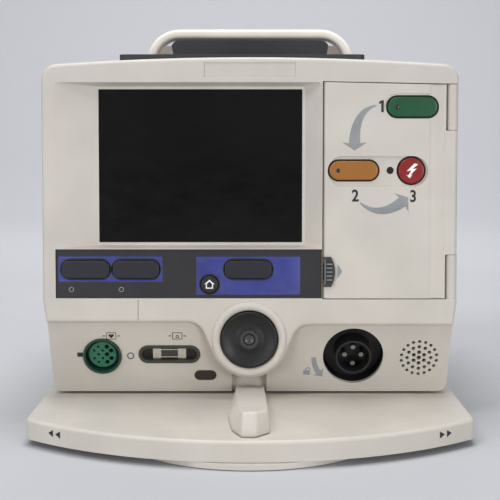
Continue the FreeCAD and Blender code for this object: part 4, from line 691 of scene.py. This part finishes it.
def dial_hub(looks):
    """The toothed grip ring and finger cap in the middle of the dished dial."""
    across, level = face_centre("dial_knob")
    beside, ahead = 4.6 * MM, 50 * MM
    start = Vector((across + beside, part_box("dial_knob")[0].y - ahead, level))
    floor = NODES["dial_knob"].ray_cast(start, Vector((0, 1, 0)))[1].y
    teeth, steps = 26, 4
    tip, root, bore = 6.4 * MM, 5.4 * MM, 4 * MM
    outline = []
    for index in range(teeth * steps):
        turn = 2 * math.pi * index / (teeth * steps)
        out = tip if index % steps < steps / 2 else root
        outline.append((across + out * math.cos(turn), level + out * math.sin(turn)))
    ring = [outline, circle((across, level), bore)]
    inlay("dial_teeth", ring, floor - 0.7 * MM, 1.2 * MM, looks["hub"], "dial", 0.12 * MM)
    profile = [(0, -0.2 * MM), (1.6 * MM, -0.35 * MM), (2.7 * MM, -0.9 * MM), (3.0 * MM, -0.8 * MM),
               (3.05 * MM, 0.6 * MM), (0, 0.6 * MM)]
    turned("dial_cap", profile, looks["hub"], "dial",
           Matrix.Translation((across, floor, level)), 40)


# ---------------------------------------------------------------- dock marks

# corners of the lever from its left rear round the nose, in millimetres: foot (x, y) and top (x, y, z)
LEVER = [((-9.2, -78), (-9.0, -78, 22.4)), ((-12.8, -144), (-7.2, -144, 26.9)),
         ((-10.4, -171), (-5.4, -170, 28.7)), ((-4.9, -186), (-4.6, -181.5, 29.5)),
         ((3.4, -186), (3.6, -181.5, 29.5)), ((11.2, -176.5), (9.9, -174.5, 29.0)),
         ((11.8, -144), (9.6, -144, 26.9)), ((9.2, -78), (9.0, -78, 22.4))]


LUG = ((-4, -82.6, 9), (4, -75.4, 16.6))    # lowest and highest corners of the lug under its rear end


def lever(looks):
    """The release lever: a long wedge with soft edges, narrowing to a nose turned slightly left."""
    sole, brow = 16.2 * MM, 19.4 * MM
    edge_radius, edge_steps = 1.3 * MM, 3
    made = bmesh.new()
    feet = [made.verts.new((x * MM, y * MM, sole)) for (x, y), _ in LEVER]
    brows = [made.verts.new((x * MM, y * MM, brow)) for (x, y), _ in LEVER]
    tops = [made.verts.new(Vector(top) * MM) for _, top in LEVER]
    for i in range(len(LEVER)):
        j = (i + 1) % len(LEVER)
        made.faces.new((feet[i], feet[j], brows[j], brows[i]))
        made.faces.new((brows[i], brows[j], tops[j], tops[i]))
    made.faces.new(feet[::-1])
    for i in range(len(LEVER) // 2 - 1):
        made.faces.new((tops[i], tops[i + 1], tops[-2 - i], tops[-1 - i]))
    bmesh.ops.recalc_face_normals(made, faces=made.faces)
    bmesh.ops.bevel(made, geom=made.edges[:], offset=edge_radius, segments=edge_steps, profile=0.5,
                    affect="EDGES", clamp_overlap=True)
    lug_low, lug_high = (Vector(corner) * MM for corner in LUG)
    spread = Matrix.Diagonal((*(lug_high - lug_low), 1))
    bmesh.ops.create_cube(made, size=1, matrix=Matrix.Translation((lug_low + lug_high) / 2) @ spread)
    piece = from_mesh("lever", as_mesh("lever", made), looks["dock"], "latch")
    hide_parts("latch_lever")


def swivel_marks(looks):
    """Two small arrowheads at each front corner of the dock."""
    outer_tip, pitch, long, half_high = 117.8 * MM, 4.6 * MM, 3.8 * MM, 2.1 * MM
    for side, end in ((-1, "left"), (1, "right")):
        for index in range(2):
            tip = side * (outer_tip - index * pitch)
            foot = tip - side * long
            head = [(tip, 0), (foot, half_high), (foot, -half_high)]
            on_bow(f"swivel_mark_{end}_{index}", head, looks["ink"])


def on_bow(name, head, look):
    """A mark on the bowed front wall of the dock, turned to lie flat on it."""
    middle = sum(point[0] for point in head) / len(head)
    level, ahead = 10.8 * MM, -300 * MM
    start = Vector((middle, ahead, level))
    _, spot, normal, _ = NODES["dock_shell"].ray_cast(start, Vector((0, 1, 0)))
    turn = math.atan2(normal.x, -normal.y)
    place = (Matrix.Translation(spot) @ Matrix.Rotation(turn, 4, "Z") @ Matrix.Translation((-middle, 0, 0)))
    printed(name, [head], 0, look, "dock", place)


# ---------------------------------------------------------------- rear and side trim

def rear_trim(looks):
    """Two blank rating plates on the back."""
    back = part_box("rear_case")[1].y
    proud, thick, edge, corner = 0.25 * MM, 0.3 * MM, 0.05 * MM, 2 * MM
    about_face = Matrix.Rotation(math.pi, 4, "Z")
    plates = (("rating_plate", -52, 96, 8, 126), ("blank_plate", 20, 100, 52, 118))
    for name, left, low, right, high in plates:
        outline = rounded(-right * MM, low * MM, -left * MM, high * MM, corner)
        inlay(name, [outline], -back - proud, thick, looks["blank"], "device", edge, about_face)


def chart_strip(looks):
    """Chart paper from the top of the roll, over the platen and out towards the slot in the flap."""
    clear, paper_thick, margin, tail, tail_rise = 0.15 * MM, 0.1 * MM, 2 * MM, 5 * MM, 0.2 * MM
    roll_low, roll_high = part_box("paper_roll")
    platen_low, platen_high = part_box("platen_roller")
    platen = face_centre("platen_roller")
    roll_radius = (roll_high.z - roll_low.z) / 2 + clear
    platen_radius = (platen_high.z - platen_low.z) / 2 + clear
    path = arc(face_centre("paper_roll"), roll_radius, 70, 20, 5) + arc(platen, platen_radius, -10, 86, 8)
    path.append((platen[0] - tail, platen[1] + platen_radius + tail_rise))
    made = bmesh.new()
    low_y, high_y = roll_low.y + margin, roll_high.y - margin
    rows = [[made.verts.new((x, y, z)) for y in (low_y, (low_y + high_y) / 2, high_y)] for x, z in path]
    for first, second in zip(rows, rows[1:]):
        for i in range(2):
            made.faces.new((first[i], first[i + 1], second[i + 1], second[i]))
    piece = from_mesh("chart_strip", as_mesh("chart_strip", made), looks["paper"], "device")
    piece.modifiers.new("thickness", "SOLIDIFY").thickness = paper_thick


# ---------------------------------------------------------------- studio

LIGHTS = (      # name, place, the point it faces, width and power
    ("key_light", (-0.6, -0.8, 1.2), (0, -0.05, 0.12), 0.55, 5.5),
    ("left_light", (-0.85, -1.2, 0.2), (0, 0, 0.08), 0.5, 3.9),
    ("right_light", (0.85, -1.2, 0.2), (0, 0, 0.08), 0.5, 6),
    ("top_light", (0, 0.0, 1.3), (0, 0, 0.1), 0.6, 9),
    ("rear_light", (0, 1.3, 1.0), (0, 0, 0.12), 0.8, 3),
    ("backdrop_light", (0, 1.0, 1.8), (0, 2.2, 0.8), 1.2, 12),
)


def studio():
    """A pale floor that curves up behind, and soft light."""
    made = bmesh.new()
    front, depth, bend, half_width, high = -6, 2.2, 0.7, 6, 4
    profile = [(front, 0.0)]
    profile += [(depth - bend + bend * math.sin(math.radians(a)), bend - bend * math.cos(math.radians(a)))
                for a in range(0, 91, 10)]
    profile.append((depth, high))
    rows = [[made.verts.new((x, y, z)) for x in (-half_width, half_width)] for y, z in profile]
    for first, second in zip(rows, rows[1:]):
        made.faces.new((first[0], first[1], second[1], second[0]))
    mesh = as_mesh("floor", made)
    floor = placed("floor", mesh)
    for face in mesh.polygons:
        face.use_smooth = True
    paper = Recipe("floor_paper")
    near = paper.mix(paper.ramp(paper.noise(0.4, 2), 0, 1), linear((186, 187, 191)), linear((190, 191, 195)))
    across = paper.add("ShaderNodeSeparateXYZ")
    paper.link(paper.place, across.inputs["Vector"])
    # painted light: the floor is painted lighter towards the back, lightest on the backdrop
    tint = paper.mix(paper.ramp(across.outputs["Y"], 0, 1, 0.2, 1.5), near, linear((214, 215, 219)))
    mesh.materials.append(paper.finish(tint, paper.ramp(paper.noise(0.05, 3), 0.75, 0.9), specular=0.2))
    for name, place, target, size, power in LIGHTS:
        light(name, place, target, size, power)
    world = bpy.data.worlds.new("studio")
    world.use_nodes = True
    sky = world.node_tree.nodes["Background"]
    sky.inputs["Color"].default_value = (0.80, 0.81, 0.84, 1)
    sky.inputs["Strength"].default_value = 0.48
    bpy.context.scene.world = world
    bpy.context.scene.view_settings.view_transform = "Standard"


def light(name, place, target, size, power):
    """A round area light at place that faces target."""
    lamp = bpy.data.lights.new(name, "AREA")
    lamp.shape = "DISK"
    lamp.size = size
    lamp.energy = power
    holder = placed(name, lamp)
    holder.location = place
    holder.rotation_euler = (Vector(target) - Vector(place)).to_track_quat("-Z", "Y").to_euler()


def camera():
    """The view from the front, a little above the device."""
    lens = bpy.data.cameras.new("camera")
    lens.lens = 86
    lens.sensor_width = 36
    lens.shift_y = -0.10
    lens.clip_start = 0.05
    holder = placed("camera", lens)
    tilt = 3.3                  # degrees down
    holder.location = (0, -0.840, 0.186)
    holder.rotation_euler = (math.radians(90 - tilt), 0, 0)
    bpy.context.scene.camera = holder


def main():
    looks = make_materials()
    dress_nodes(looks)
    keypad(looks)
    door_marks(looks)
    tab_marks(looks)
    treatment_keys(looks)
    panel_marks(looks)
    dial_hub(looks)
    lever(looks)
    swivel_marks(looks)
    rear_trim(looks)
    chart_strip(looks)
    studio()
    camera()


main()
